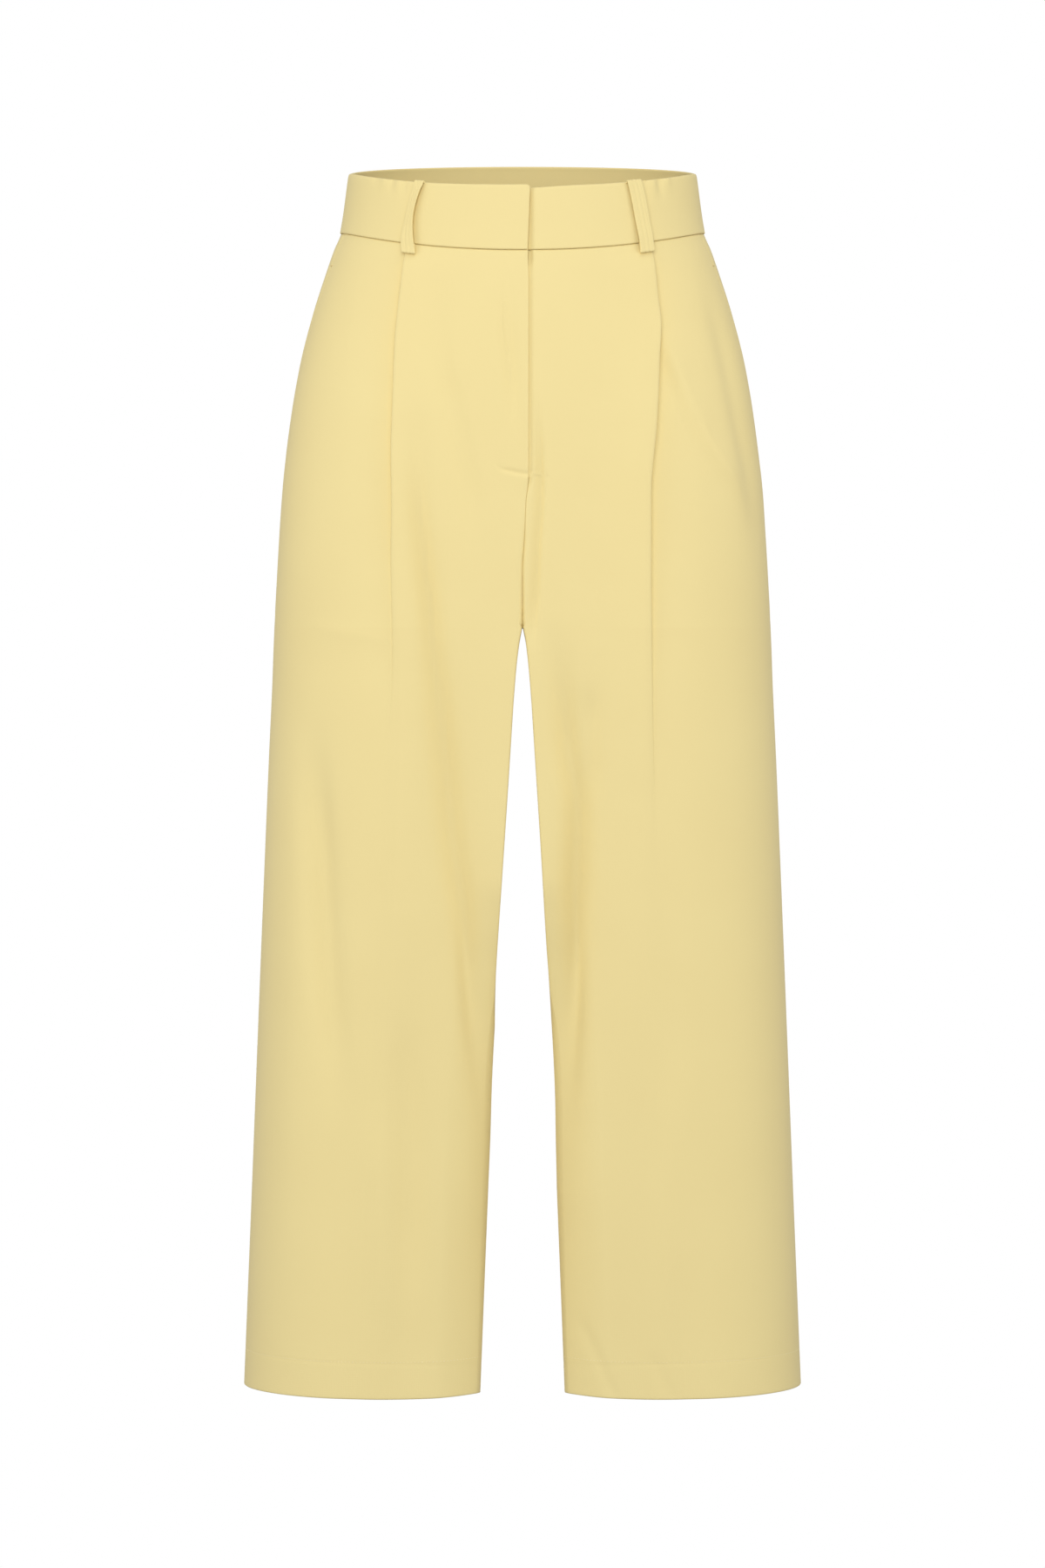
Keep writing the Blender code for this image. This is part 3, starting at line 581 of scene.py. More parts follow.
# The pleat's fold edge by drop: distance across, height of its step, how sharp the tuck is.
PLEATS: dict[Side, tuple[tuple[float, float, float, float], ...]] = {
    Side.RIGHT: (
        (45.6, 86, 0.3, 1), (52, 86.8, 1, 1), (64, 88.4, 2.7, 1), (87, 90.9, 3.2, 1),
        (121, 93.9, 3.5, 1), (166, 95.5, 3.5, 1), (209, 96.8, 3.2, 1), (250, 96.5, 3.2, 0.9),
        (291, 97, 2.9, 0.7), (366, 95.5, 2.2, 0.4), (450, 97, 1.5, 0.05), (600, 103, 1.5, 0),
        (916, 118, 1.8, 0),
    ),
    Side.LEFT: (
        (45.6, 95.6, 0.3, 1), (52, 96.4, 1, 1), (64, 97.8, 2.7, 1), (80, 99.1, 3.2, 1),
        (107, 101.3, 3.5, 1), (143, 100.6, 3.8, 1), (187, 98.7, 3.8, 1), (242, 94.8, 3.5, 0.9),
        (292, 94.8, 3.4, 0.85), (366, 95.5, 2.8, 0.65), (434, 96.1, 2.2, 0.4), (510, 97.4, 1.7, 0.05),
        (600, 100, 1.5, 0), (916, 115, 1.8, 0),
    ),
}

# Across a pleat from the centre side: place and height of the tucked fold, then of the soft one.
PLEAT_SECTION = (
    (-40, 0, -40, 0), (-24, 0.26, -26, 0.22), (-11, 0.74, -15, 0.50), (-2.6, 1, -7, 0.44),
    (-0.6, 0.84, -2.6, 0.20), (0, 0.36, 0, 0), (-0.9, -0.62, 2.4, -0.18), (0.9, -0.86, 6.5, -0.40),
    (8, -0.70, 14, -0.46), (22, -0.26, 26, -0.20), (40, 0, 40, 0),
)


class Pleat:
    """The deep pleat of one front, with its columns close together at the tuck."""

    PLACES = np.concatenate([
        np.linspace(0.0, 2.0, 9)[:-1], np.linspace(2.0, 7.0, 27), [7.3, 7.6], np.linspace(8.0, 10.0, 8),
    ])

    def __init__(self, side: Side) -> None:
        """Read the pleat's tables for one side.

        Args:
            side: side of the garment.
        """
        rows = PLEATS[side]
        self.across = Curve([(row[0], row[1]) for row in rows])
        self.step = Curve([(row[0], row[2]) for row in rows])
        self.sharp = Curve([(row[0], row[3]) for row in rows])
        self.section = [Curve([(i, row[k]) for i, row in enumerate(PLEAT_SECTION)]) for k in range(4)]

    def columns(self, ring: HalfRing) -> Run:
        """The pleat's columns at one level.

        Args:
            ring: the half ring of the row.

        Returns:
            Place along the ring and height of each column.
        """
        middle = ring.along_at(float(self.across(ring.drop)))
        sharp = float(self.sharp(ring.drop))
        sharp_along, sharp_height, soft_along, soft_height = (one(self.PLACES) for one in self.section)
        alongs = middle + soft_along + (sharp_along - soft_along) * sharp
        heights = soft_height + (sharp_height - soft_height) * sharp
        return alongs, heights * float(self.step(ring.drop))

    def height_beside(self, ring: HalfRing, along: Array) -> Array:
        """Height of the pleat where the cloth lies single, for a piece under or on the front.

        Args:
            ring: the half ring of the row.
            along: places along it.

        Returns:
            The height at each place.
        """
        alongs, heights = self.columns(ring)
        order = np.argsort(alongs)
        return np.interp(along, alongs[order], heights[order])


# --- Cloth grids ---

# How an edge of a panel goes from inside to outside: distance in from the edge, and height.
SEAM_EDGE = np.array((
    (8, -2.1), (3, -2.1), (1, -2.05), (0.3, -1.8), (0, -1.35), (0, -0.75), (0.2, -0.33),
    (0.65, -0.1), (1.5, 0),
))
FLY_EDGE = np.array((
    (30, -1.3), (12, -1.3), (2.4, -1.3), (0.7, -1.2), (0.1, -0.85), (0, -0.45), (0.22, -0.14),
    (0.8, 0), (1.8, 0),
))
MOUTH_EDGE = np.array((
    (14, -1.3), (6, -1.3), (2, -1.3), (0.7, -1.2), (0.1, -0.85), (0, -0.45), (0.25, -0.1),
    (0.9, 0.1), (2.2, 0.12),
))
EDGE_COLUMNS = len(SEAM_EDGE)

# Distance from a seam in which heights stand out along y, and the setback in which the side seam
# turns into the edge of the pocket mouth.
STRAIGHT_SPAN = (1.0, 2.0)
MOUTH_SPAN = (0.0, 2.5)

# Rows at a panel's top, where it turns up into the waistband's seam: drop and height.
TOP_ROWS = (
    (39, -0.3), (43.5, -0.8), (45.2, -1.2), (45.7, -1.15), (45.85, -0.75), (46.05, -0.38),
    (46.4, -0.14), (47.1, -0.03), (49, 0),
)

# Levels between which the rows lie closer together, at the end of the fly, on each side of the
# crotch and round the hem's stitch line, and the turned-up hem's edge.
FLY_ROWS = (220.0, 238.0)
CROTCH_STEP = 0.1
STITCH_ROWS = (884.0, 893.0)
STITCH_STEP = 0.9
HEM_ROLL_START = 1.6
HEM_ROLL = 1.1
HEM_ROLL_ANGLES = (15, 40, 65, 90, 115, 140, 165, 180)
HEM_INNER_START = 3.0
HEM_INNER_ROWS = 8


def beside_seam(side: Side, face: Face, x: Array, y: Array, level: Array) -> Array:
    """Points of a row in space, half a seam's gap off the centre and side planes.

    Args:
        side: side of the garment.
        face: front or back.
        x: distance of each point from the centre plane.
        y: its distance from the side plane, with its sign.
        level: how far it lies under the waist.

    Returns:
        Columns by three, in millimetres.
    """
    half = SEAM_GAP / 2.0
    return np.stack([side.value * (x + half), y + face.value * half, -level], axis=1)


@dataclass
class Cloth:
    """A piece of cloth as rows and columns, before its points are placed in space."""

    side: Side
    face: Face
    drops: Array
    row_heights: Array
    turns: Array
    alongs: Array
    heights: Array
    straight: Array

    def crease(self, form: GarmentForm, extra: Sequence[Crease]) -> None:
        """Add the panel's creases and folds to the heights.

        Args:
            form: the garment's form.
            extra: creases of sewing, on top of the panel's own and of its hem's stitch line.
        """
        across = np.zeros(self.alongs.shape)
        level = np.zeros(self.alongs.shape)
        for i, drop in enumerate(self.drops):
            ring = form.ring(drop, self.face)
            across[i] = ring.point(self.alongs[i], 0.0)[0]
            level[i] = form.panel_level(ring, self.alongs[i])
        drops = np.repeat(self.drops[:, None], self.alongs.shape[1], axis=1)
        for crease in (*CREASES[self.side, self.face], STITCH_DIMPLE, *extra):
            self.heights += crease.height(across, level)
        for fold in FOLDS[self.side, self.face]:
            self.heights += fold.height(drops, across)

    def points(self, form: GarmentForm) -> Array:
        """Places of all points, in metres.

        Args:
            form: the garment's form.

        Returns:
            Rows by columns by three.
        """
        rows = []
        for i, drop in enumerate(self.drops):
            ring = form.ring(drop, self.face)
            heights = self.heights[i] + self.row_heights[i]
            x, y = ring.point(self.alongs[i], heights, self.straight[i] if ring.joined else 0.0)
            rows.append(beside_seam(self.side, self.face, x, y, form.panel_level(ring, self.alongs[i])))
        return np.array(rows) * MM

    def uv(self) -> Array:
        """Places on the flat cut cloth, in metres.

        Returns:
            Rows by columns by two.
        """
        flat = np.zeros((*self.alongs.shape, 2))
        flat[..., 0] = self.alongs
        flat[..., 1] = -run_lengths(self.drops, self.row_heights)[:, None]
        return flat * MM

    @property
    def flipped(self) -> bool:
        """True where the columns run so that the faces have to be turned to point outwards."""
        return (self.side is Side.RIGHT) != (self.face is Face.BACK)


def panel_rows(step: float, fly_step: float) -> Levels:
    """Rows of a panel from the waist seam to the edge of the turned-up hem.

    Args:
        step: distance between plain rows.
        fly_step: distance between the rows at the lower end of the fly.

    Returns:
        Drop, height and turn of each row; the turn is 1 outside and -1 on the turned-up part.
    """
    drops = [row[0] for row in TOP_ROWS]
    heights = [row[1] for row in TOP_ROWS]
    spans = (
        (FLY_ROWS[0], step), (FLY_ROWS[1], fly_step), (CROTCH_DROP - CROTCH_STEP, step),
        (CROTCH_DROP + CROTCH_STEP, CROTCH_STEP), (STITCH_ROWS[0], step), (STITCH_ROWS[1], STITCH_STEP),
        (HEM_DROP - HEM_ROLL_START, step),
    )
    low = drops[-1]
    for high, gap in spans:
        count = max(2, round((high - low) / gap))
        drops += list(np.linspace(low, high, count + 1)[1:])
        heights += [0.0] * count
        low = high
    turns = [1.0] * len(drops)
    for angle in np.radians(HEM_ROLL_ANGLES):
        drops.append(HEM_DROP - HEM_ROLL + HEM_ROLL * math.sin(angle))
        heights.append(-HEM_ROLL + HEM_ROLL * math.cos(angle))
        turns.append(math.cos(angle))
    drops += list(np.linspace(HEM_DROP - HEM_INNER_START, HEM_DROP - HEM_TURN, HEM_INNER_ROWS))
    heights += [-2.0 * HEM_ROLL] * HEM_INNER_ROWS
    turns += [-1.0] * HEM_INNER_ROWS
    return np.array(drops), np.array(heights), np.array(turns)


def edged_row(ends: Span, edges: Run, middle: Array, heights: Array, turn: float) -> Levels:
    """One row of a panel between its two finished edges.

    Args:
        ends: places of the first and the last edge along the ring.
        edges: the table of each edge.
        middle: places of the points between them.
        heights: their heights.
        turn: 1 outside and -1 on the turned-up hem.

    Returns:
        Place, height and straightness of each point of the row.
    """
    first, last = edges
    row = np.concatenate([ends[0] + first[:, 0], middle, (ends[1] - last[:, 0])[::-1]])
    heights = np.concatenate([first[:, 1] * turn, heights, last[::-1, 1] * turn])
    straight = np.zeros(row.shape)
    straight[:EDGE_COLUMNS] = 1.0 - rise(first[:, 0], STRAIGHT_SPAN)
    return row, heights, straight


def creased(panel: Any, face: Face, levels: Levels, extra: Sequence[Crease]) -> Cloth:
    """A leg panel as rows and columns, with its creases.

    Args:
        panel: the front or the back.
        face: which of them it is.
        levels: drop, height and turn of each row.
        extra: its creases of sewing.

    Returns:
        The cloth.
    """
    rows = [panel.row(drop, turn) for drop, turn in zip(levels[0], levels[2])]
    cloth = Cloth(panel.side, face, *levels, *(np.array(part) for part in zip(*rows)))
    cloth.crease(panel.form, extra)
    return cloth


@dataclass
class FrontPanel:
    """One front: pleat, creases, fly edge, pocket mouth, rolled seams and turned-up hem.

    On the leg its inner columns are gathered at the corner of the ring, within corner_reach before
    and after it and in no less than the least shares of the row.
    """

    form: GarmentForm
    side: Side
    row_step: float = 3.3
    fly_row_step: float = 1.0
    wall_columns: int = 9
    corner_columns: int = 14
    inner_columns: int = 46
    outer_columns: int = 26
    squeeze_span: Span = (296.0, 44.0)
    corner_reach: Span = (3.0, 4.0)
    least_shares: Span = (0.008, 0.05)
    fly_edge_end: Span = (226.0, 4.0)
    underlap: float = 9.0
    slip: float = 0.6
    slip_span: Span = (52.0, 12.0)
    lap_end: Span = (231.0, 14.0)
    lap_rise: float = 0.5
    lap_span: Span = (0.0, 14.0)
    dip: float = 1.2
    dip_span: Span = (1.0, 3.4)
    notch: float = 1.8
    notch_span: Span = (52.0, 10.0)

    def __post_init__(self) -> None:
        """Read the side's pleat."""
        self.pleat = Pleat(self.side)

    def lap(self, drop: float, past: Array) -> Array:
        """Height by the fly, where the right front lies over the left one.

        Args:
            drop: level of the row.
            past: how far each point lies from the closing line, into its own side.

        Returns:
            The height that the lap adds.
        """
        open_share = 1.0 - rise(drop, self.lap_end)
        if self.side is Side.RIGHT:
            return self.lap_rise * open_share * (1.0 - rise(past, self.lap_span))
        dip = self.dip + self.notch * (1.0 - rise(drop, self.notch_span))
        return -dip * open_share * (1.0 - rise(past, self.dip_span))

    def surface(self, drop: float, along: Array) -> Array:
        """Height of the front at places on one level, for the pieces under it or on it.

        Args:
            drop: the level.
            along: places along its ring.

        Returns:
            The height at each place.
        """
        ring = self.form.ring(drop, Face.FRONT)
        x = ring.point(along, 0.0)[0]
        level = self.form.panel_level(ring, along)
        total = self.pleat.height_beside(ring, along)
        for crease in CREASES[self.side, Face.FRONT]:
            total = total + crease.height(x, level)
        for fold in FOLDS[self.side, Face.FRONT]:
            total = total + fold.height(np.full(along.shape, drop), x)
        return total

    def inner_places(self, ring: HalfRing, low: float, high: float) -> Array:
        """Places between the centre line and the pleat.

        Args:
            ring: the half ring of the row.
            low: place of the last edge column.
            high: place of the pleat's first column.

        Returns:
            Places along the ring.
        """
        span = high - low
        count = self.wall_columns + self.corner_columns + self.inner_columns
        even = np.linspace(low, high, count + 2)[1:-1]
        before = low + max(ring.corner - self.corner_reach[0] - low, self.least_shares[0] * span)
        after = low + max(ring.corner + self.corner_reach[1] - low, self.least_shares[1] * span)
        wall = np.linspace(low, before, self.wall_columns + 1)[1:]
        corner = np.linspace(before, after, self.corner_columns + 1)[1:]
        front = np.linspace(after, high, self.inner_columns + 2)[1:-1]
        leg = float(rise(ring.drop, self.squeeze_span))
        return even + (np.concatenate([wall, corner, front]) - even) * leg

    def row(self, drop: float, turn: float) -> Levels:
        """The row of points at a drop.

        Args:
            drop: the row's drop.
            turn: 1 outside and -1 on the turned-up hem.

        Returns:
            Place, height and straightness of each point of the row.
        """
        ring = self.form.ring(drop, Face.FRONT)
        open_share = 1.0 - float(rise(drop, self.fly_edge_end))
        shift = float(CLOSING(drop))
        if self.side is Side.LEFT:
            start = shift - self.underlap * open_share
            fold = shift
            first = SEAM_EDGE
        else:
            start = -shift + self.slip * (1.0 - float(rise(drop, self.slip_span)))
            fold = start
            first = SEAM_EDGE + (FLY_EDGE - SEAM_EDGE) * open_share
        setback = float(MOUTH(drop))
        end = ring.length - setback
        last = SEAM_EDGE + (MOUTH_EDGE - SEAM_EDGE) * float(rise(setback, MOUTH_SPAN))
        pleat_places, pleat_heights = self.pleat.columns(ring)
        inner = self.inner_places(ring, start + first[-1, 0], pleat_places[0])
        outer = np.linspace(pleat_places[-1], end - last[-1, 0], self.outer_columns + 2)[1:-1]
        middle = np.concatenate([inner, pleat_places, outer])
        heights = np.concatenate([np.zeros(inner.shape), pleat_heights, np.zeros(outer.shape)])
        row, heights, straight = edged_row((start, end), (first, last), middle, heights, turn)
        return row, heights + self.lap(drop, row - fold), straight

    def cloth(self) -> Cloth:
        """The front as rows and columns."""
        levels = panel_rows(self.row_step, self.fly_row_step)
        return creased(self, Face.FRONT, levels, FLY_CREASES[self.side])


# The stitch line above each hem presses the cloth in a little.
STITCH_DIMPLE = Crease(
    ((28, 893), (120, 891), (214, 888.3)), -0.1, 1.3, fade_in=0.02, fade_out=0.02
)

# The seam between the fronts under the fly, and each side's hooked crease at the fly's lower end.
FLY_HOOKS: dict[Side, Crease] = {
    Side.RIGHT: Crease(
        ((-5, 234.4), (2.6, 233.4), (7.1, 232.4), (12.2, 231.4), (17, 229.4), (22, 223.5)),
        -0.75, 1.9, lean=-0.4, fade_in=0.05, fade_out=0.6,
    ),
    Side.LEFT: Crease(
        ((2, 232.6), (8, 231), (14, 228)), -0.25, 1.6, lean=0.2, fade_in=0.05, fade_out=0.7
    ),
}
FLY_CREASES: dict[Side, tuple[Crease, ...]] = {
    side: (
        Crease(
            ((2.2 * side.value, 258.0), (1.4 * side.value, 284.0), (0.0, 306.0), (0.0, 347.5)),
            -0.6, 1.5, low_depth=-2.3, fade_out=0.06,
        ),
        hook,
    )
    for side, hook in FLY_HOOKS.items()
}


@dataclass
class BackPanel:
    """One back: a dart under the belt loop, creases, rolled seams and turned-up hem."""

    form: GarmentForm
    side: Side
    row_step: float = 4.2
    columns: int = 70
    wall_columns: int = 22
    wall_reach: float = 4.0
    least_wall: float = 1.0
    dart: Crease = Crease(
        ((84.5, 29.0), (82.0, 80.0), (79.0, 152.0)), -0.75, 1.5, lean=-0.25, fade_in=0.02, fade_out=0.7
    )

    def row(self, drop: float, turn: float) -> Levels:
        """The row of points at a drop.

        Args:
            drop: the row's drop.
            turn: 1 outside and -1 on the turned-up hem.

        Returns:
            Place, height and straightness of each point of the row.
        """
        ring = self.form.ring(drop, Face.BACK)
        edge = SEAM_EDGE[-1, 0]
        wall_end = max(ring.along_at(ring.inner_end + self.wall_reach), edge + self.least_wall)
        wall = np.linspace(edge, wall_end, self.wall_columns + 1)[1:-1]
        middle = np.concatenate([wall, np.linspace(wall_end, ring.length - edge, self.columns + 1)[:-1]])
        edges = (SEAM_EDGE, SEAM_EDGE)
        return edged_row((0.0, ring.length), edges, middle, np.zeros(middle.shape), turn)

    def cloth(self) -> Cloth:
        """The back as rows and columns."""
        return creased(self, Face.BACK, panel_rows(self.row_step, self.row_step), (self.dart,))


@dataclass
class PocketBacking:
    """The cloth that shows in the slanted pocket mouth and runs on as the bag inside the front."""

    front: FrontPanel
    top_drop: float = 52.0
    end_drop: float = 336.0
    rows: int = 84
    bag_columns: int = 44
    shown_columns: int = 12
    bag_start: float = 9.0
    least_shown: float = 3.2
    seam_room: float = 0.2
    lift: float = 1.6
    ramp: float = 5.0

    def row(self, drop: float) -> Levels:
        """The row of points at a drop.

        Args:
            drop: the row's drop.

        Returns:
            Place, height and straightness of each point of the row.
        """
        ring = self.front.form.ring(drop, Face.FRONT)
        setback = float(MOUTH(drop))
        mouth = ring.length - setback
        ramp = max(min(self.ramp, setback), 0.01)
        start = ring.along_at(float(self.front.pleat.across(drop))) + self.bag_start
        edge = min(mouth, ring.length - self.least_shown)
        end = ring.length - SEAM_EDGE[-1, 0] - self.seam_room
        bag = np.linspace(start, edge, self.bag_columns + 1)[:-1]
        shown = np.linspace(edge, end, self.shown_columns)
        row = np.concatenate([bag, shown, (ring.length - SEAM_EDGE[:, 0])[::-1]])
        heights = self.front.surface(drop, row) - self.lift * (1.0 - rise(row, (mouth, ramp)))
        heights[-EDGE_COLUMNS:] += SEAM_EDGE[::-1, 1] * float(rise(setback, MOUTH_SPAN))
        return row, heights, np.zeros(row.shape)

    def cloth(self) -> Cloth:
        """The backing as rows and columns.

        Returns:
            The cloth.
        """
        drops = [row[0] for row in TOP_ROWS] + list(np.linspace(self.top_drop, self.end_drop, self.rows))
        row_heights = [row[1] for row in TOP_ROWS] + [0.0] * self.rows
        levels = (np.array(drops), np.array(row_heights), np.ones(len(drops)))
        rows = [self.row(drop) for drop in drops]
        return Cloth(self.front.side, Face.FRONT, *levels, *(np.array(part) for part in zip(*rows)))


# --- Meshes ---


def link(name: str, data: Any) -> Object:
    """Put a new object with its data in the scene.

    Args:
        name: the object's name.
        data: its mesh, camera or light.

    Returns:
        The new object.
    """
    item = bpy.data.objects.new(name, data)
    bpy.context.scene.collection.objects.link(item)
    return item


def finish_object(name: str, mesh: Mesh, material: Material) -> Object:
    """Put a mesh in the scene as an object at the origin, smooth and with its material.

    Args:
        name: the piece's name.
        mesh: its mesh, in metres and in place.
        material: its finish.

    Returns:
        The new object.
    """
    mesh.materials.clear()
    mesh.materials.append(material)
    mesh.shade_smooth()
    return link(name, mesh)


def built_object(name: str, build: bmesh.types.BMesh, material: Material) -> Object:
    """An object from built faces, which are freed.

    Args:
        name: the piece's name.
        build: the faces, in metres and in place.
        material: its finish.

    Returns:
        The new object.
    """
    mesh = bpy.data.meshes.new(name)
    build.to_mesh(mesh)
    build.free()
    return finish_object(name, mesh, material)


def grid_object(
    name: str, points: Array, flat: Array, flipped: bool, material: Material
) -> Object:
    """A sheet from rows and columns of points, with its flat cut as UV map.

    Args:
        name: the piece's name.
        points: rows by columns by three, in metres.
        flat: rows by columns by two, in metres.
        flipped: whether the faces are turned.
        material: its finish.

    Returns:
        The new object.
    """
    rows, columns = points.shape[:2]
    index = np.arange(rows * columns).reshape(rows, columns)
    corners = [index[:-1, :-1], index[1:, :-1], index[1:, 1:], index[:-1, 1:]]
    if flipped:
        corners = corners[::-1]
    faces = np.stack(corners, axis=-1).reshape(-1, 4)
    mesh = bpy.data.meshes.new(name)
    mesh.from_pydata(points.reshape(-1, 3).tolist(), [], faces.tolist())
    layer = mesh.uv_layers.new(name=UV_NAME)
    layer.data.foreach_set("uv", flat.reshape(-1, 2)[faces.ravel()].ravel())
    return finish_object(name, mesh, material)


def make_plain(item: Object) -> None:
    """Turn what an object's modifiers make into its own plain mesh.

    Args:
        item: the object.
    """
    depsgraph = bpy.context.evaluated_depsgraph_get()
    mesh = bpy.data.meshes.new_from_object(item.evaluated_get(depsgraph))
    source = item.data
    item.modifiers.clear()
    item.data = mesh
    bpy.data.meshes.remove(source)


def thicken(item: Object, thickness: float) -> None:
    """Give a sheet its thickness, inwards.

    Args:
        item: the sheet.
        thickness: its thickness in millimetres.
    """
    solid = item.modifiers.new("thickness", "SOLIDIFY")
    solid.thickness = thickness * MM
    solid.offset = -1.0
    solid.use_rim = True
    make_plain(item)


@dataclass(frozen=True)
class Cut:
    """The flat cut of a piece of cloth: width, length and area, in metres."""

    width: float
    length: float
    area: float | None = None
    hold: Hold = Hold.HUNG

    def declare(self, item: Object, rests_on: Sequence[str]) -> None:
        """Do nothing: the piece is not declared as a sheet."""


def dress(item: Object, node: str | None = None) -> None:
    """Let a finished piece ride with the garment and hide the solid that it stands for.

    Args:
        item: the piece.
        node: name of the solid that it stands for, if any.
    """
    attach(item, "root")
    if node:
        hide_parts(node)


# --- Nodes and finishes ---


def linear(hex_colour: str) -> tuple[float, float, float, float]:
    """Linear colour of an sRGB hex value.

    Args:
        hex_colour: six hex digits after a hash.

    Returns:
        Linear red, green and blue, with 1 for alpha.
    """
    channels = []
    for i in (1, 3, 5):
        value = int(hex_colour[i : i + 2], 16) / 255.0
        channels.append(value / 12.92 if value <= 0.04045 else ((value + 0.055) / 1.055) ** 2.4)
    return (*channels, 1.0)


def add_node(tree: NodeTree, kind: str, inputs: dict | None = None, **settings: Any) -> Any:
    """Add a node with its settings and links.

    Args:
        tree: the node tree.
        kind: the node's type name.
        inputs: input name or number, and the value or the socket that it takes.
        **settings: properties of the node.

    Returns:
        The new node.
    """
    node = tree.nodes.new(kind)
    for key, value in settings.items():
        setattr(node, key, value)
    for key, value in (inputs or {}).items():
        if isinstance(value, NodeSocket):
            tree.links.new(value, node.inputs[key])
        else:
            node.inputs[key].default_value = value
    return node


def new_material(name: str) -> tuple[Material, NodeTree]:
    """An empty node material and its tree.

    Args:
        name: the material's name.

    Returns:
        The material and its node tree.
    """
    material = bpy.data.materials.new(name)
    material.use_nodes = True
    material.node_tree.nodes.clear()
    return material, material.node_tree


def wave_scale(pitch_mm: float) -> float:
    """Scale of a wave texture whose bands lie this many millimetres apart."""
    return 2.0 * math.pi / (20.0 * pitch_mm * MM)


@dataclass(frozen=True)
class Finish:
    """A finish of the garment, made as a node material."""

    name: str

    def surface(self, tree: NodeTree) -> dict[str, Any]:
        """Value or socket of each of the shader's inputs, from nodes in the tree."""
        raise NotImplementedError

    def build(self) -> Material:
        """Make the node material.

        Returns:
            The new material.
        """
        material, tree = new_material(self.name)
        shader = add_node(tree, "ShaderNodeBsdfPrincipled", self.surface(tree))
        add_node(tree, "ShaderNodeOutputMaterial", {"Surface": shader.outputs["BSDF"]})
        return material


@dataclass(frozen=True)
class StretchCrepeSuiting(Finish):
    """Polyester and elastane stretch crepe: plain woven, piece dyed, pressed matte.

    To the eye it is a dry, even, pale yellow with no shine, a pebble too fine to see from a step
    away and a faint bloom where the surface turns aside. Threads lie about 0.4 mm apart; they are
    drawn 1.3 mm apart, because nothing finer shows.
    """

    colour: str = "#ECDA9B"
    second_colour: str = "#E9D697"
    thread_mm: float = 1.3
    pebble_mm: float = 2.6
    cloud_mm: float = 90.0
    bump_mm: float = 0.035
    roughness: float = 0.82

    def surface(self, tree: NodeTree) -> dict[str, Any]:
        """Add the nodes and give the shader's inputs.

        Args:
            tree: the material's node tree.

        Returns:
            Value or socket of each input.
        """
        uv = add_node(tree, "ShaderNodeUVMap", uv_map=UV_NAME).outputs["UV"]
        threads = []
        for direction in ("X", "Y"):
            settings = {"Vector": uv, "Scale": wave_scale(self.thread_mm), "Distortion": 0.6, "Detail": 1.0}
            thread = add_node(tree, "ShaderNodeTexWave", settings, bands_direction=direction)
            threads.append(thread.outputs["Fac"])
        weave = add_node(tree, "ShaderNodeMath", {0: threads[0], 1: threads[1]}, operation="MULTIPLY")
        settings = {"Vector": uv, "Scale": 1.0 / (self.pebble_mm * MM), "Detail": 3.0}
        pebble = add_node(tree, "ShaderNodeTexNoise", settings, noise_dimensions="2D")
        both = {0: weave.outputs[0], 1: 0.45, 2: pebble.outputs["Fac"]}
        relief = add_node(tree, "ShaderNodeMath", both, operation="MULTIPLY_ADD")
        settings = {"Strength": 1.0, "Distance": self.bump_mm * MM, "Height": relief.outputs[0]}
        bump = add_node(tree, "ShaderNodeBump", settings)
        settings = {"Vector": uv, "Scale": 1.0 / (self.cloud_mm * MM), "Detail": 2.0}
        cloud = add_node(tree, "ShaderNodeTexNoise", settings, noise_dimensions="2D")
        settings = {0: cloud.outputs["Fac"], 6: linear(self.colour), 7: linear(self.second_colour)}
        tone = add_node(tree, "ShaderNodeMix", settings, data_type="RGBA")
        return {
            "Base Color": tone.outputs[2],
            "Roughness": self.roughness,
            "Specular IOR Level": 0.3,
            "Sheen Weight": 0.12,
            "Sheen Roughness": 0.45,
            "Normal": bump.outputs["Normal"],
        }


@dataclass(frozen=True)
class SpunPolyesterThread(Finish):
    """Spun polyester sewing thread, dyed to the cloth: a soft, slightly lighter and glossier line."""

    colour: str = "#F6E8BE"
    roughness: float = 0.6
    ply_mm: float = 0.5

    def surface(self, tree: NodeTree) -> dict[str, Any]:
        """Add the nodes and give the shader's inputs.

        Args:
            tree: the material's node tree.

        Returns:
            Value or socket of each input.
        """
        place = add_node(tree, "ShaderNodeTexCoord").outputs["Object"]
        settings = {"Vector": place, "Scale": wave_scale(self.ply_mm)}
        ply = add_node(tree, "ShaderNodeTexWave", settings, bands_direction="DIAGONAL")
        settings = {"Strength": 0.3, "Distance": 0.03 * MM, "Height": ply.outputs["Fac"]}
        bump = add_node(tree, "ShaderNodeBump", settings)
        return {
            "Base Color": linear(self.colour),
            "Roughness": self.roughness,
            "Sheen Weight": 0.1,
            "Normal": bump.outputs["Normal"],
        }


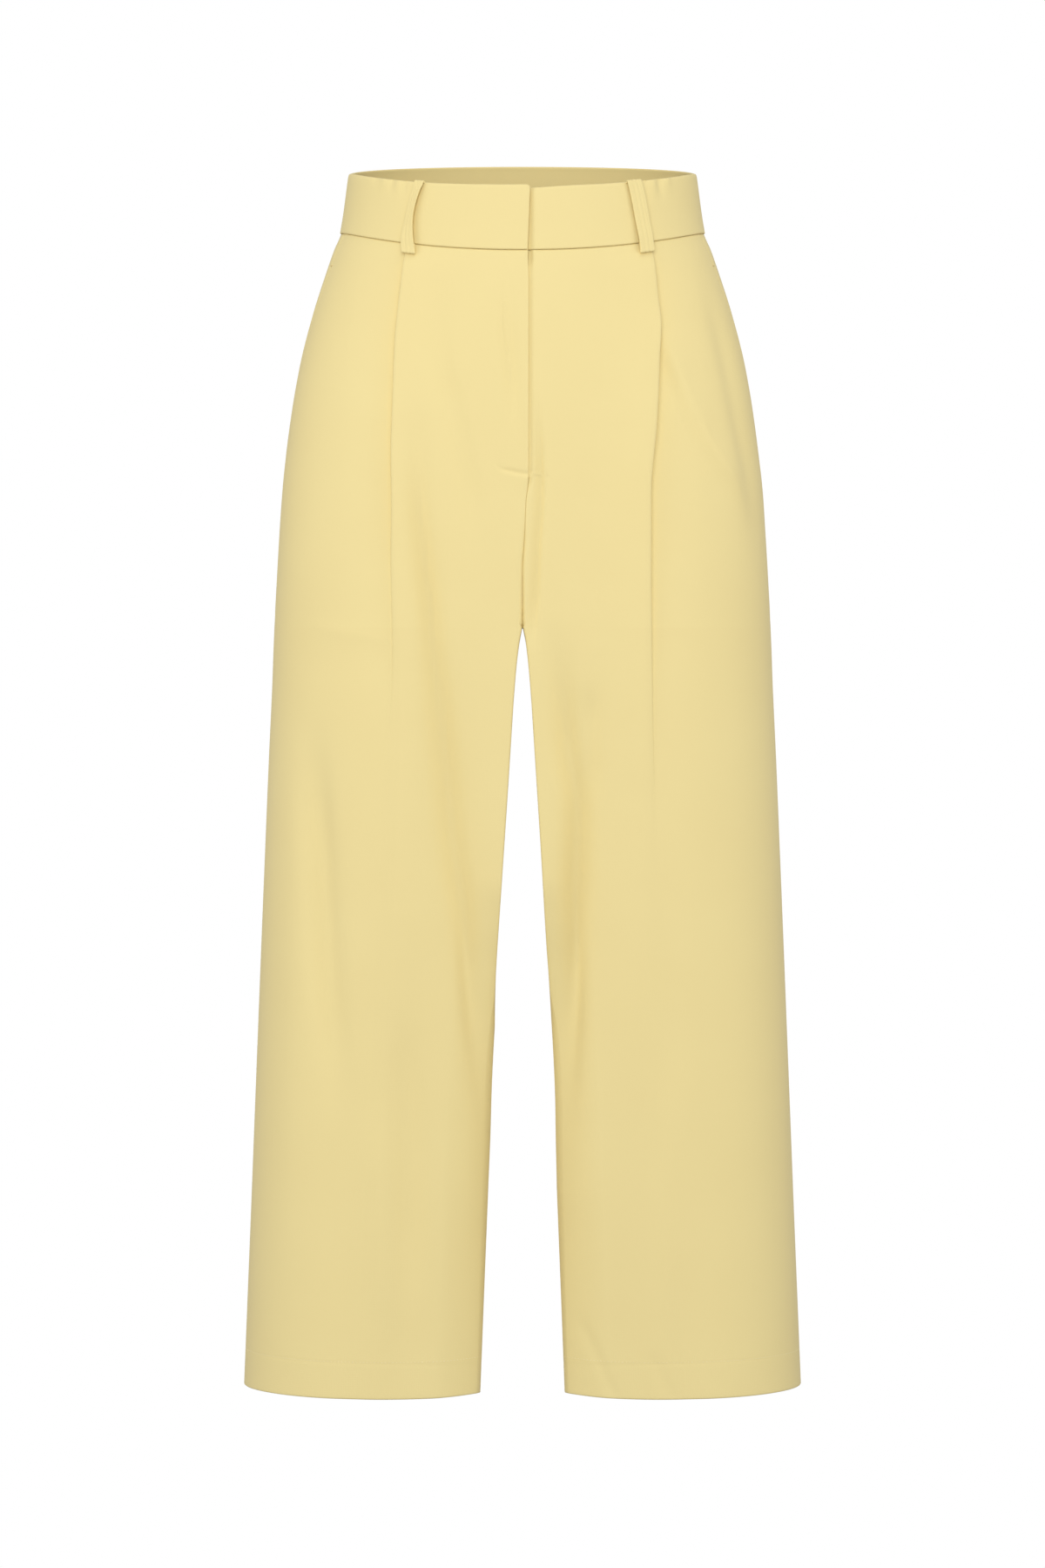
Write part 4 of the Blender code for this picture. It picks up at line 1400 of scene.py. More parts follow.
@dataclass(frozen=True)
class WovenPolyesterTape(Finish):
    """Woven polyester zip tape: a fine herringbone, flat and slightly darker than the cloth."""

    colour: str = "#DECA8E"
    rib_mm: float = 1.2
    roughness: float = 0.75

    def surface(self, tree: NodeTree) -> dict[str, Any]:
        """Add the nodes and give the shader's inputs.

        Args:
            tree: the material's node tree.

        Returns:
            Value or socket of each input.
        """
        uv = add_node(tree, "ShaderNodeUVMap", uv_map=UV_NAME).outputs["UV"]
        settings = {"Vector": uv, "Scale": wave_scale(self.rib_mm)}
        rib = add_node(tree, "ShaderNodeTexWave", settings, bands_direction="DIAGONAL")
        settings = {"Strength": 0.8, "Distance": 0.06 * MM, "Height": rib.outputs["Fac"]}
        bump = add_node(tree, "ShaderNodeBump", settings)
        return {
            "Base Color": linear(self.colour),
            "Roughness": self.roughness,
            "Normal": bump.outputs["Normal"],
        }


@dataclass(frozen=True)
class NylonCoil(Finish):
    """Coiled nylon zip teeth, dyed in the mass: smooth, faintly glossy monofilament."""

    colour: str = "#E2CE92"

    def surface(self, tree: NodeTree) -> dict[str, Any]:
        """Add the nodes and give the shader's inputs.

        Args:
            tree: the material's node tree.

        Returns:
            Value or socket of each input.
        """
        place = add_node(tree, "ShaderNodeTexCoord").outputs["Object"]
        cloud = add_node(tree, "ShaderNodeTexNoise", {"Vector": place, "Scale": 700.0, "Detail": 1.0})
        settings = {"Strength": 0.2, "Distance": 0.02 * MM, "Height": cloud.outputs["Fac"]}
        bump = add_node(tree, "ShaderNodeBump", settings)
        return {
            "Base Color": linear(self.colour),
            "Roughness": 0.35,
            "IOR": 1.53,
            "Normal": bump.outputs["Normal"],
        }

@dataclass(frozen=True)
class LacqueredZinc(Finish):
    """Die-cast zinc slider under a dyed lacquer: smooth and softly glossy, worn thin on its edges."""

    colour: str = "#D9C384"
    worn_colour: str = "#C9B98C"

    def surface(self, tree: NodeTree) -> dict[str, Any]:
        """Add the nodes and give the shader's inputs.

        Args:
            tree: the material's node tree.

        Returns:
            Value or socket of each input.
        """
        place = add_node(tree, "ShaderNodeTexCoord").outputs["Object"]
        cloud = add_node(tree, "ShaderNodeTexNoise", {"Vector": place, "Scale": 320.0, "Detail": 2.0})
        settings = {0: cloud.outputs["Fac"], 6: linear(self.colour), 7: linear(self.worn_colour)}
        tone = add_node(tree, "ShaderNodeMix", settings, data_type="RGBA")
        return {"Base Color": tone.outputs[2], "Roughness": 0.32, "Coat Weight": 0.4}


# --- Sewing ---


@dataclass(frozen=True)
class StitchSize:
    """Sizes of one kind of stitch in millimetres, and the share by which they differ at random."""

    pitch: float
    length: float
    breadth: float
    height: float
    jitter: float = 0.0

    def inputs(self) -> dict[str, float]:
        """Values of the node tree's inputs by name, in metres."""
        sizes = {name.capitalize(): size * MM for name, size in vars(self).items()}
        return {**sizes, "Jitter": self.jitter}


class StitchRun:
    """Stitches repeated along a path on the cloth by Geometry Nodes.

    The path is a chain of vertices that carries the cloth's outward direction. Each stitch is a
    low, round bead of thread, longest along the path or across it.
    """

    NORMAL = "cloth_normal"

    def __init__(self) -> None:
        """Build the node tree once."""
        tree = bpy.data.node_groups.new("stitch_run", "GeometryNodeTree")
        sockets = tree.interface
        sockets.new_socket(name="Geometry", in_out="INPUT", socket_type="NodeSocketGeometry")
        for name in ("Pitch", "Length", "Breadth", "Height", "Jitter"):
            sockets.new_socket(name=name, in_out="INPUT", socket_type="NodeSocketFloat")
        sockets.new_socket(name="Seed", in_out="INPUT", socket_type="NodeSocketInt")
        sockets.new_socket(name="Thread", in_out="INPUT", socket_type="NodeSocketMaterial")
        sockets.new_socket(name="Geometry", in_out="OUTPUT", socket_type="NodeSocketGeometry")
        given = add_node(tree, "NodeGroupInput").outputs
        curve = add_node(tree, "GeometryNodeMeshToCurve", {"Mesh": given["Geometry"]})
        inputs = {"Curve": curve.outputs["Curve"], "Length": given["Pitch"]}
        even = add_node(tree, "GeometryNodeResampleCurve", inputs, mode="LENGTH")
        inputs = {"Name": self.NORMAL}
        outward = add_node(tree, "GeometryNodeInputNamedAttribute", inputs, data_type="FLOAT_VECTOR")
        tangent = add_node(tree, "GeometryNodeInputTangent")
        inputs = {"Primary Axis": outward.outputs["Attribute"], "Secondary Axis": tangent.outputs["Tangent"]}
        turn = add_node(tree, "FunctionNodeAxesToRotation", inputs, primary_axis="Z", secondary_axis="X")
        low = add_node(tree, "ShaderNodeMath", {0: 1.0, 1: given["Jitter"]}, operation="SUBTRACT")
        high = add_node(tree, "ShaderNodeMath", {0: 1.0, 1: given["Jitter"]}, operation="ADD")
        inputs = {2: low.outputs[0], 3: high.outputs[0], "Seed": given["Seed"]}
        chance = add_node(tree, "FunctionNodeRandomValue", inputs, data_type="FLOAT")
        inputs = {"X": given["Length"], "Y": given["Breadth"], "Z": given["Height"]}
        size = add_node(tree, "ShaderNodeCombineXYZ", inputs)
        inputs = {0: size.outputs[0], "Scale": chance.outputs[1]}
        scale = add_node(tree, "ShaderNodeVectorMath", inputs, operation="SCALE")
        bead = add_node(tree, "GeometryNodeMeshIcoSphere", {"Radius": 0.5, "Subdivisions": 1})
        smooth = add_node(tree, "GeometryNodeSetShadeSmooth", {"Geometry": bead.outputs["Mesh"]})
        inputs = {
            "Points": even.outputs["Curve"],
            "Instance": smooth.outputs["Geometry"],
            "Rotation": turn.outputs["Rotation"],
            "Scale": scale.outputs[0],
        }
        beads = add_node(tree, "GeometryNodeInstanceOnPoints", inputs)
        real = add_node(tree, "GeometryNodeRealizeInstances", {"Geometry": beads.outputs["Instances"]})
        inputs = {"Geometry": real.outputs["Geometry"], "Material": given["Thread"]}
        done = add_node(tree, "GeometryNodeSetMaterial", inputs)
        add_node(tree, "NodeGroupOutput", {"Geometry": done.outputs["Geometry"]})
        self.tree = tree

    def sew(
        self, name: str, runs: Sequence[Run], size: StitchSize, material: Material, seed: int
    ) -> Object:
        """Make the stitches of several runs as one plain mesh.

        Args:
            name: the piece's name.
            runs: points and outward directions of each run, in metres.
            size: sizes of its stitches.
            material: the thread.
            seed: start of the random sizes.

        Returns:
            The finished object.
        """
        mesh = bpy.data.meshes.new(name)
        edges = []
        first = 0
        for points, _ in runs:
            edges += [(first + i, first + i + 1) for i in range(len(points) - 1)]
            first += len(points)
        mesh.from_pydata(np.concatenate([run[0] for run in runs]).tolist(), edges, [])
        normals = mesh.attributes.new(self.NORMAL, "FLOAT_VECTOR", "POINT")
        normals.data.foreach_set("vector", np.concatenate([run[1] for run in runs]).ravel())
        item = link(name, mesh)
        modifier = item.modifiers.new("stitches", "NODES")
        modifier.node_group = self.tree
        values = {**size.inputs(), "Seed": seed, "Thread": material}
        for socket in self.tree.interface.items_tree:
            if socket.item_type == "SOCKET" and socket.in_out == "INPUT" and socket.name in values:
                modifier[socket.identifier] = values[socket.name]
        make_plain(item)
        item.data.materials.clear()
        item.data.materials.append(material)
        return item


@dataclass(frozen=True)
class Seamster:
    """Finds paths on the cloth for its stitches."""

    form: GarmentForm
    stand_off: float = 0.04

    def hem_run(self, cloth: Cloth) -> Run:
        """Path of the hem's stitch line on a panel.

        Args:
            cloth: the panel.

        Returns:
            Points and outward directions, in metres.
        """
        turned_up = HEM_DROP * (cloth.turns < 0.9)
        row = int(np.argmin(np.abs(cloth.drops - (HEM_DROP - STITCH_LINE)) + turned_up))
        points = cloth.points(self.form)
        inside = slice(EDGE_COLUMNS, -EDGE_COLUMNS)
        here = points[row, inside]
        down = points[row + 1, inside] - here
        normal = np.cross(down, np.gradient(here, axis=0))
        if cloth.flipped:
            normal = -normal
        normal /= np.linalg.norm(normal, axis=1)[:, None]
        return here + normal * self.stand_off * MM, normal

    def level_run(self, side: Side, drop: float, alongs: Array, heights: Array) -> Run:
        """A level path on a front.

        Args:
            side: side of the garment.
            drop: the ring.
            alongs: places along it.
            heights: how far they stand out.

        Returns:
            Points and outward directions, in metres.
        """
        ring = self.form.ring(drop, Face.FRONT)
        x, y = ring.point(alongs, heights)
        out_x, out_y = ring.point(alongs, heights + 1.0)
        points = np.stack([side.value * x, y, -self.form.panel_level(ring, alongs)], axis=1)
        normal = np.stack([side.value * (out_x - x), out_y - y, np.zeros(len(x))], axis=1)
        return points * MM, normal


# --- Waistband ---

# How far the band stands out, by the share of its height from the top.
BAND_PUFF = Curve((
    (0.0, 0.35), (0.05, 0.55), (0.3, 0.7), (0.65, 0.8), (0.9, 0.85), (0.96, 0.75), (1.0, 0.5),
))

# How far the top line of each front drops at the centre, and where the drop ends.
BAND_SAG: dict[Side, Span] = {Side.RIGHT: (-1.2, 90.0), Side.LEFT: (1.3, 40.0)}

# The crinkles beside each front belt loop: path, depth and width.
BAND_CREASES: dict[Side, tuple[Crease, ...]] = {
    side: tuple(Crease(path, depth, width, fade_in=0.1, fade_out=0.8) for path, depth, width in rows)
    for side, rows in (
        (Side.RIGHT, (
            (((86, 6), (87.5, 17), (90, 30)), -1.28, 1.8),
            (((91, 4), (92.5, 14), (94, 25)), 1.10, 1.8),
            (((96, 3), (97, 12), (99, 26)), -1.47, 2),
            (((102.5, 1), (103, 11), (105, 21)), 1.10, 2),
            (((108.5, 0), (109, 9), (110, 18)), -1.10, 2),
        )),
        (Side.LEFT, (
            (((90.5, 5), (91.5, 16), (94, 36)), -1.28, 1.9),
            (((96, 3), (97, 14), (99, 30)), 1.28, 2),
            (((101, 2), (102, 13), (104.5, 32)), -1.60, 2.2),
            (((107, 1), (108, 11), (110, 24)), 1.10, 2.2),
        )),
    )
}


@dataclass
class Waistband:
    """The folded waistband: a front on each side and the back.

    The inner run says how far its rows start past the seam and end under the fold, and the outer
    run how far its rows start under the fold and end above the seam.
    """

    form: GarmentForm
    wall: float = 2.4
    fold: float = 1.15
    inner_run: Span = (4.0, 1.5)
    inner_rows: int = 14
    fold_rows: int = 11
    outer_run: Span = (1.2, 1.9)
    outer_rows: int = 30
    front_columns: int = 118
    back_columns: int = 90
    underlap: float = 26.0
    lap_rise: float = 0.5
    lap_span: Span = (0.0, 16.0)
    dip: float = 2.8
    dip_span: Span = (0.6, 4.5)
    corner: float = 3.0
    slant: Span = (-1.2, 1.9)
    slant_span: Span = (0.0, 14.0)
    centre_reach: float = 20.0
    end_reach: float = 1.3
    end_open: float = 0.06
    seam_open: float = 0.3

    # Distance in from an end of its last columns.
    ENDS = np.array((0.0, 0.1, 0.3, 0.6, 0.95, 1.4, 2.2))
    # How the outer edge turns under above the seam: distance up from the seam, and height.
    BEND = ((1.0, 0.0), (0.55, -0.12), (0.26, -0.4), (0.1, -0.9), (0.2, -1.4), (1.2, -1.55), (5.0, -1.5))

    def __post_init__(self) -> None:
        """Work out the strip's rows, from its inner edge over the fold to its outer edge."""
        past, start = self.inner_run
        inside = np.linspace(BAND_HEIGHT + past, self.fold + start, self.inner_rows)
        start, short = self.outer_run
        outside = np.linspace(self.fold + start, BAND_HEIGHT - short, self.outer_rows)
        top = float(BAND_PUFF(0.0))
        rows = [(drop, float(BAND_PUFF(drop / BAND_HEIGHT)) - self.wall) for drop in inside]
        for angle in np.radians(np.linspace(180.0, 0.0, self.fold_rows)):
            height = top - self.wall / 2.0 + self.wall / 2.0 * math.cos(angle)
            rows.append((self.fold - self.fold * math.sin(angle), height))
        rows += [(drop, float(BAND_PUFF(drop / BAND_HEIGHT))) for drop in outside]
        low = float(BAND_PUFF(0.95))
        rows += [(BAND_HEIGHT - up, low + fall) for up, fall in self.BEND]
        self.rows = rows

    def squeeze(self, distance: Array, least: float) -> Array:
        """How far the fold is open near an end: least at the end itself and 1 further in."""
        share = np.clip(1.0 - distance / self.end_reach, 0.0, 1.0)
        return least + (1.0 - least) * np.sqrt(1.0 - share * share)

    def places(self, ring: HalfRing, side: Side, alongs: Array) -> Array:
        """Places of the columns on one ring.

        Args:
            ring: the row's ring.
            side: the side that the places are measured on.
            alongs: places along the top ring, measured from the centre.

        Returns:
            Places along the ring. The right end slants and its upper corner is round.
        """
        top_length = self.form.ring(0.0, ring.face).length
        stretch = (ring.length - self.centre_reach) / (top_length - self.centre_reach)
        places = alongs.copy()
        far = places > self.centre_reach
        places[far] = self.centre_reach + (places[far] - self.centre_reach) * stretch
        if ring.face is Face.FRONT and side is Side.RIGHT:
            above = max(self.corner - ring.drop, 0.0)
            inset = self.corner - math.sqrt(self.corner**2 - above**2)
            inset += self.slant[0] + self.slant[1] * (ring.drop / BAND_HEIGHT)
            places += inset * (1.0 - rise(alongs - alongs[0], self.slant_span))
        return places

    def half(
        self, side: Side, face: Face, alongs: Array, extra: Array, opened: Array
    ) -> Run:
        """Points of a stretch of the band.

        Args:
            side: the side that the places are measured on.
            face: front or back.
            alongs: places along the top ring, measured from the centre.
            extra: height of each column added by laps.
            opened: how far the fold is open at each column.

        Returns:
            Points in metres and flat places in metres.
        """
        points = []
        flat = []
        down = 0.0
        last = self.rows[0]
        for drop, height in self.rows:
            ring = self.form.ring(drop, face)
            share = drop / BAND_HEIGHT
            places = self.places(ring, side, alongs)
            level = self.form.band_level(ring, share, places)
            middle = float(BAND_PUFF(min(share, 1.0))) - self.wall / 2.0
            heights = middle + (height - middle) * opened + extra
            if face is Face.FRONT:
                sag, reach = BAND_SAG[side]
                level = level + sag * max(1.0 - share, 0.0) * (1.0 - smooth_step(alongs / reach))
                if height > middle:
                    across = ring.point(places, 0.0)[0]
                    for crease in BAND_CREASES[side]:
                        heights = heights + crease.height(across, level)
            points.append(beside_seam(side, face, *ring.point(places, heights), level))
            down += math.hypot(drop - last[0], height - last[1])
            last = (drop, height)
            flat.append(np.stack([places, np.full(len(places), -down)], axis=1))
        return np.array(points) * MM, np.array(flat) * MM

    def front(self, side: Side, material: Material) -> Object:
        """A front of the band: the right end laps over the left one's tongue.

        Args:
            side: side of the garment.
            material: its finish.

        Returns:
            The new object.
        """
        closing = float(CLOSING(BAND_HEIGHT))
        length = self.form.ring(0.0, Face.FRONT).length
        start = -closing if side is Side.RIGHT else closing - self.underlap
        middle = np.linspace(start + self.ENDS[-1], length - self.ENDS[-1], self.front_columns)[1:-1]
        alongs = np.concatenate([start + self.ENDS, middle, (length - self.ENDS)[::-1]])
        opened = self.squeeze(alongs - start, self.end_open) * self.squeeze(length - alongs, self.seam_open)
        if side is Side.RIGHT:
            extra = self.lap_rise * (1.0 - rise(alongs - start, self.lap_span))
        else:
            extra = -self.dip * (1.0 - rise(alongs - closing, self.dip_span))
        points, flat = self.half(side, Face.FRONT, alongs, extra, opened)
        name = "cloth_waistband_front_" + side.word
        return grid_object(name, points, flat, side is Side.RIGHT, material)

    def back(self, material: Material) -> Object:
        """The band's back, from one side seam to the other.

        Args:
            material: its finish.

        Returns:
            The new object.
        """
        length = self.form.ring(0.0, Face.BACK).length
        middle = np.linspace(0.0, length - self.ENDS[-1], self.back_columns)[:-1]
        alongs = np.concatenate([middle, (length - self.ENDS)[::-1]])
        opened = self.squeeze(length - alongs, self.seam_open)
        level = np.zeros(len(alongs))
        left, flat_left = self.half(Side.LEFT, Face.BACK, alongs, level, opened)
        right, flat_right = self.half(Side.RIGHT, Face.BACK, alongs, level, opened)
        flat_right[..., 0] *= -1.0
        points = np.concatenate([right[:, :0:-1], left[:, 1:]], axis=1)
        flat = np.concatenate([flat_right[:, :0:-1], flat_left[:, 1:]], axis=1)
        return grid_object("cloth_waistband_back", points, flat, True, material)


# --- Belt loops ---


@dataclass(frozen=True)
class BeltLoop:
    """A folded strip sewn in at the band's top edge and turned under below the seam."""

    name: str
    side: Side
    face: Face
    top_across: float
    bottom_across: float
    lower_base: float
    top_lower: float = 0.0
    width: float = 11.4
    top_share: float = 1.0
    twist: float = 0.0
    stand: float = 1.0
    bow: float = 0.0
    thickness: float = 1.1
    sewn_height: float = 1.9
    band_base: float = 0.75
    leave_span: Span = (0.55, 0.3)
    lower_span: Span = (0.0, 14.0)
    twist_start: Span = (0.0, 9.0)
    twist_end: Span = (50.0, -22.0)
    narrow_span: Span = (20.0, 28.0)
    crown: float = 0.25

    # Stretches along the loop: place where each starts, and its number of rows.
    STRETCHES = ((0.0, 15), (7.0, 29), (54.0, 18))
    # Along the loop: drop, height of its middle layer, and how far it has come down (0 to 1).
    PATH = (
        (0.9, -0.2, 0.0), (0.1, -0.1, 0.0), (-0.75, 0.45, 0.0), (-0.85, 1.25, 0.01), (0.0, 1.9, 0.02),
        (2.2, 2.5, 0.05), (5.5, 3.15, 0.12), (15.5, 4.35, 0.3), (26.7, 4.8, 0.5), (37.0, 4.35, 0.7),
        (45.2, 3.2, 0.86), (48.9, 2.3, 0.94), (51.4, 1.85, 0.99), (52.4, 1.65, 1.0), (52.7, 1.2, 1.0),
        (52.3, 0.75, 1.0), (50.9, 0.65, 0.98), (45.6, 0.6, 0.9),
    )
    # Half of the cross section: share of the half width, and height over the middle layer.
    SECTION = (
        (0.0, 0.5), (0.16, 0.42), (0.3, 0.08), (0.42, 0.34), (0.56, 0.52), (0.68, 0.3), (0.8, 0.5),
        (0.93, 0.46), (0.985, 0.27), (1.0, 0.0), (0.985, -0.27), (0.93, -0.45), (0.8, -0.5), (0.4, -0.5),
    )

    def spine(self, form: GarmentForm) -> tuple[Array, ...]:
        """Work out the loop's middle line.

        Args:
            form: the garment's form.

        Returns:
            Drops, heights, points and sideways directions along the loop.
        """
        path = np.array(self.PATH)
        places = run_lengths(path[:, 0], path[:, 1])
        (top, few), (front, many), (foot, last) = self.STRETCHES
        spots = [np.linspace(top, front, few + 1)[:-1], np.linspace(front, foot, many + 1)[:-1]]
        spots = np.concatenate([*spots, np.linspace(foot, places[-1], last)])
        drops, heights, shares = (Curve(list(zip(places, path[:, i])))(spots) for i in range(3))
        drops = drops + self.top_lower * (1.0 - rise(drops, self.lower_span))
        free = self.sewn_height + (heights - self.sewn_height) * self.stand
        heights = np.where(heights > self.sewn_height, free, heights)
        middles = []
        sideways = []
        for drop, height, share in zip(drops, heights, shares):
            ring = form.ring(max(drop, 0.0), self.face)
            across = self.top_across + (self.bottom_across - self.top_across) * share
            across += self.bow * math.sin(math.pi * share)
            along = ring.along_at(across) + np.array([-0.5, 0.0, 0.5])
            leaving = float(rise(share, self.leave_span))
            base = self.band_base + (self.lower_base - self.band_base) * leaving
            x, y = ring.point(along, height + base)
            if drop <= BAND_HEIGHT:
                level = form.band_level(ring, max(drop, 0.0) / BAND_HEIGHT, along) + min(drop, 0.0)
            else:
                level = form.panel_level(ring, along)
            row = np.stack([self.side.value * x, y, -level], axis=1)
            middles.append(row[1])
            beside = row[2] - row[0]
            sideways.append(beside / np.linalg.norm(beside))
        return drops, heights, np.array(middles), np.array(sideways)

    def build(self, form: GarmentForm, material: Material) -> Object:
        """Make the loop's mesh.

        Args:
            form: the garment's form.
            material: its finish.

        Returns:
            The new object.
        """
        drops, heights, middles, sideways = self.spine(form)
        upward = np.cross(np.gradient(middles, axis=0), sideways)
        upward = upward * self.side.value * self.face.value * -1.0
        upward /= np.linalg.norm(upward, axis=1)[:, None]
        section = np.array([*self.SECTION, *((-u, v) for u, v in self.SECTION[:0:-1])])
        run = np.concatenate([[0.0], np.cumsum(np.linalg.norm(np.diff(middles, axis=0), axis=1))])
        turns = rise(drops, self.twist_start) * rise(drops, self.twist_end) * (heights > 1.0)
        widths = self.top_share + (1.0 - self.top_share) * rise(drops, self.narrow_span)
        lift = section[:, 1] * self.thickness - self.crown * section[:, 0] ** 2
        points = []
        flat = []
        for i, middle in enumerate(middles):
            across = section[:, 0] * self.width * widths[i] / 2.0
            turn = math.radians(self.twist) * turns[i]
            beside = sideways[i] * math.cos(turn) + upward[i] * math.sin(turn)
            above = upward[i] * math.cos(turn) - sideways[i] * math.sin(turn)
            points.append(middle + across[:, None] * beside + lift[:, None] * above)
            flat.append(np.stack([across, np.full(len(across), -run[i])], axis=1))
        return self.tube(np.array(points) * MM, np.array(flat) * MM, material)

    def tube(self, points: Array, flat: Array, material: Material) -> Object:
        """Close rows of points into a tube with capped ends.

        Args:
            points: rows round the tube, in metres.
            flat: flat places for the UV map, in metres.
            material: its finish.

        Returns:
            The new object.
        """
        rows, columns = points.shape[:2]
        build = bmesh.new()
        layer = build.loops.layers.uv.new(UV_NAME)
        verts = [[build.verts.new(point) for point in row] for row in points]
        for i in range(rows - 1):
            for j in range(columns):
                k = (j + 1) % columns
                face = build.faces.new((verts[i][j], verts[i + 1][j], verts[i + 1][k], verts[i][k]))
                for loop, (a, b) in zip(face.loops, ((i, j), (i + 1, j), (i + 1, k), (i, k))):
                    loop[layer].uv = flat[a, b]
        build.faces.new(verts[0])
        build.faces.new(verts[-1][::-1])
        bmesh.ops.recalc_face_normals(build, faces=build.faces)
        return built_object("cloth_" + self.name, build, material)


LOOPS = (
    BeltLoop(
        "belt_loop_front_right", Side.RIGHT, Face.FRONT, 75.4, 83.2, 2,
        width=11.6, top_share=0.66, twist=-14, stand=0.45, bow=3.2,
    ),
    BeltLoop(
        "belt_loop_front_left", Side.LEFT, Face.FRONT, 81.8, 91, 2,
        width=12.4, twist=4, stand=0.3, bow=0.6,
    ),
    BeltLoop("belt_loop_back_right", Side.RIGHT, Face.BACK, 80, 84, 0.1, top_lower=3),
    BeltLoop("belt_loop_back_left", Side.LEFT, Face.BACK, 80, 84, 0.1, top_lower=3),
    BeltLoop("belt_loop_back_centre", Side.LEFT, Face.BACK, 0, 0, 0.1, top_lower=3),
)


# --- Zip ---


@dataclass(frozen=True)
class ZipFastener:
    """The closed zip behind the fly: tape, coil, bottom stop and slider."""

    form: GarmentForm
    top_drop: float = 47.0
    end_drop: float = 222.0
    half_width: float = 13.0
    height: float = -3.4
    tape_rows: int = 60
    tape_columns: int = 27
    cord_rise: float = 0.35
    cord_place: float = 4.0
    cord_width: float = 0.8
    coil_top: float = 8.0
    coil_end: float = 6.0
    coil_rows: int = 90
    coil_rise: float = 0.75
    tooth: StitchSize = StitchSize(1.5, 1.0, 4.6, 1.5)
    bevel: float = 0.4

    def place(self, drop: float, aside: Array, out: Numbers) -> Array:
        """Points at a drop, aside from the zip's middle line and out from its tape, in metres.

        Args:
            drop: their drop.
            aside: how far each lies from the zip's middle line.
            out: how far each stands out from the tape.

        Returns:
            The points.
        """
        ring = self.form.ring(drop, Face.FRONT)
        along = float(CLOSING(drop)) - self.half_width + aside
        x, y = ring.point(along, self.height + out)
        return np.stack([x, y, -self.form.panel_level(ring, along)], axis=1) * MM

    def tape(self, material: Material) -> Object:
        """The woven tape with a raised cord beside the coil.

        Args:
            material: its finish.

        Returns:
            The new object.
        """
        drops = np.linspace(self.top_drop, self.end_drop, self.tape_rows)
        aside = np.linspace(-self.half_width, self.half_width, self.tape_columns)
        cord = self.cord_rise * np.exp(-(((np.abs(aside) - self.cord_place) / self.cord_width) ** 2))
        points = np.array([self.place(drop, aside, cord) for drop in drops])
        flat = np.zeros((len(drops), len(aside), 2))
        flat[..., 0] = aside * MM
        flat[..., 1] = -drops[:, None] * MM
        return grid_object("cloth_zip", points, flat, False, material)

    def teeth(self, stitches: StitchRun, material: Material) -> Object:
        """The nylon coil along the middle of the tape.

        Args:
            stitches: the tree that repeats the teeth.
            material: their finish.

        Returns:
            The new object.
        """
        drops = np.linspace(self.top_drop + self.coil_top, self.end_drop - self.coil_end, self.coil_rows)
        middle = np.zeros(1)
        points = np.concatenate([self.place(drop, middle, self.coil_rise) for drop in drops])
        out = np.concatenate([self.place(drop, middle, self.coil_rise + 1.0) for drop in drops]) - points
        out /= np.linalg.norm(out, axis=1)[:, None]
        return stitches.sew("zip_coil", [(points, out)], self.tooth, material, seed=3)

    def slider(self, material: Material) -> Object:
        """The slider with its short pull, closed at the top, and the bottom stop.

        Args:
            material: its finish.

        Returns:
            The new object.
        """
        build = bmesh.new()
        # Each block's drop, half sizes across, down and out, and how far its middle stands out.
        blocks = (
            (self.top_drop + 9.0, 4.2, 3.6, 1.3, 0.9),
            (self.top_drop + 15.0, 2.0, 5.6, 0.5, 2.0),
            (self.end_drop - 5.0, 3.0, 1.4, 0.9, 0.8),
        )
        for drop, half_across, half_down, half_out, out in blocks:
            corners = []
            for sign_down in (-1.0, 1.0):
                for sign_out in (-1.0, 1.0):
                    aside = np.array([-half_across, half_across])
                    row = self.place(drop + sign_down * half_down, aside, out + sign_out * half_out)
                    corners += [build.verts.new(point) for point in row]
            a, b, c, d, e, f, g, h = corners
            faces = ((a, b, d, c), (e, f, h, g), (a, b, f, e), (c, d, h, g), (a, c, g, e), (b, d, h, f))
            made = [build.faces.new(face) for face in faces]
            edges = list({edge for face in made for edge in face.edges})
            bmesh.ops.bevel(
                build, geom=edges, offset=self.bevel * MM, segments=3, profile=0.6, affect="EDGES"
            )
        bmesh.ops.recalc_face_normals(build, faces=build.faces)
        return built_object("zip_slider", build, material)


# --- Stage ---


@dataclass(frozen=True)
class Softbox:
    """A square area light: where it stands, the point that it faces, its side and its power."""

    name: str
    place: tuple[float, float, float]
    aim: tuple[float, float, float]
    size: float
    power: float

    def build(self) -> None:
        """Put the light in the scene."""
        data = bpy.data.lights.new(self.name, "AREA")
        data.shape = "SQUARE"
        data.size = self.size
        data.energy = self.power
        item = link(self.name, data)
        item.location = self.place
        item.rotation_euler = (Vector(self.aim) - Vector(self.place)).to_track_quat("-Z", "Y").to_euler()


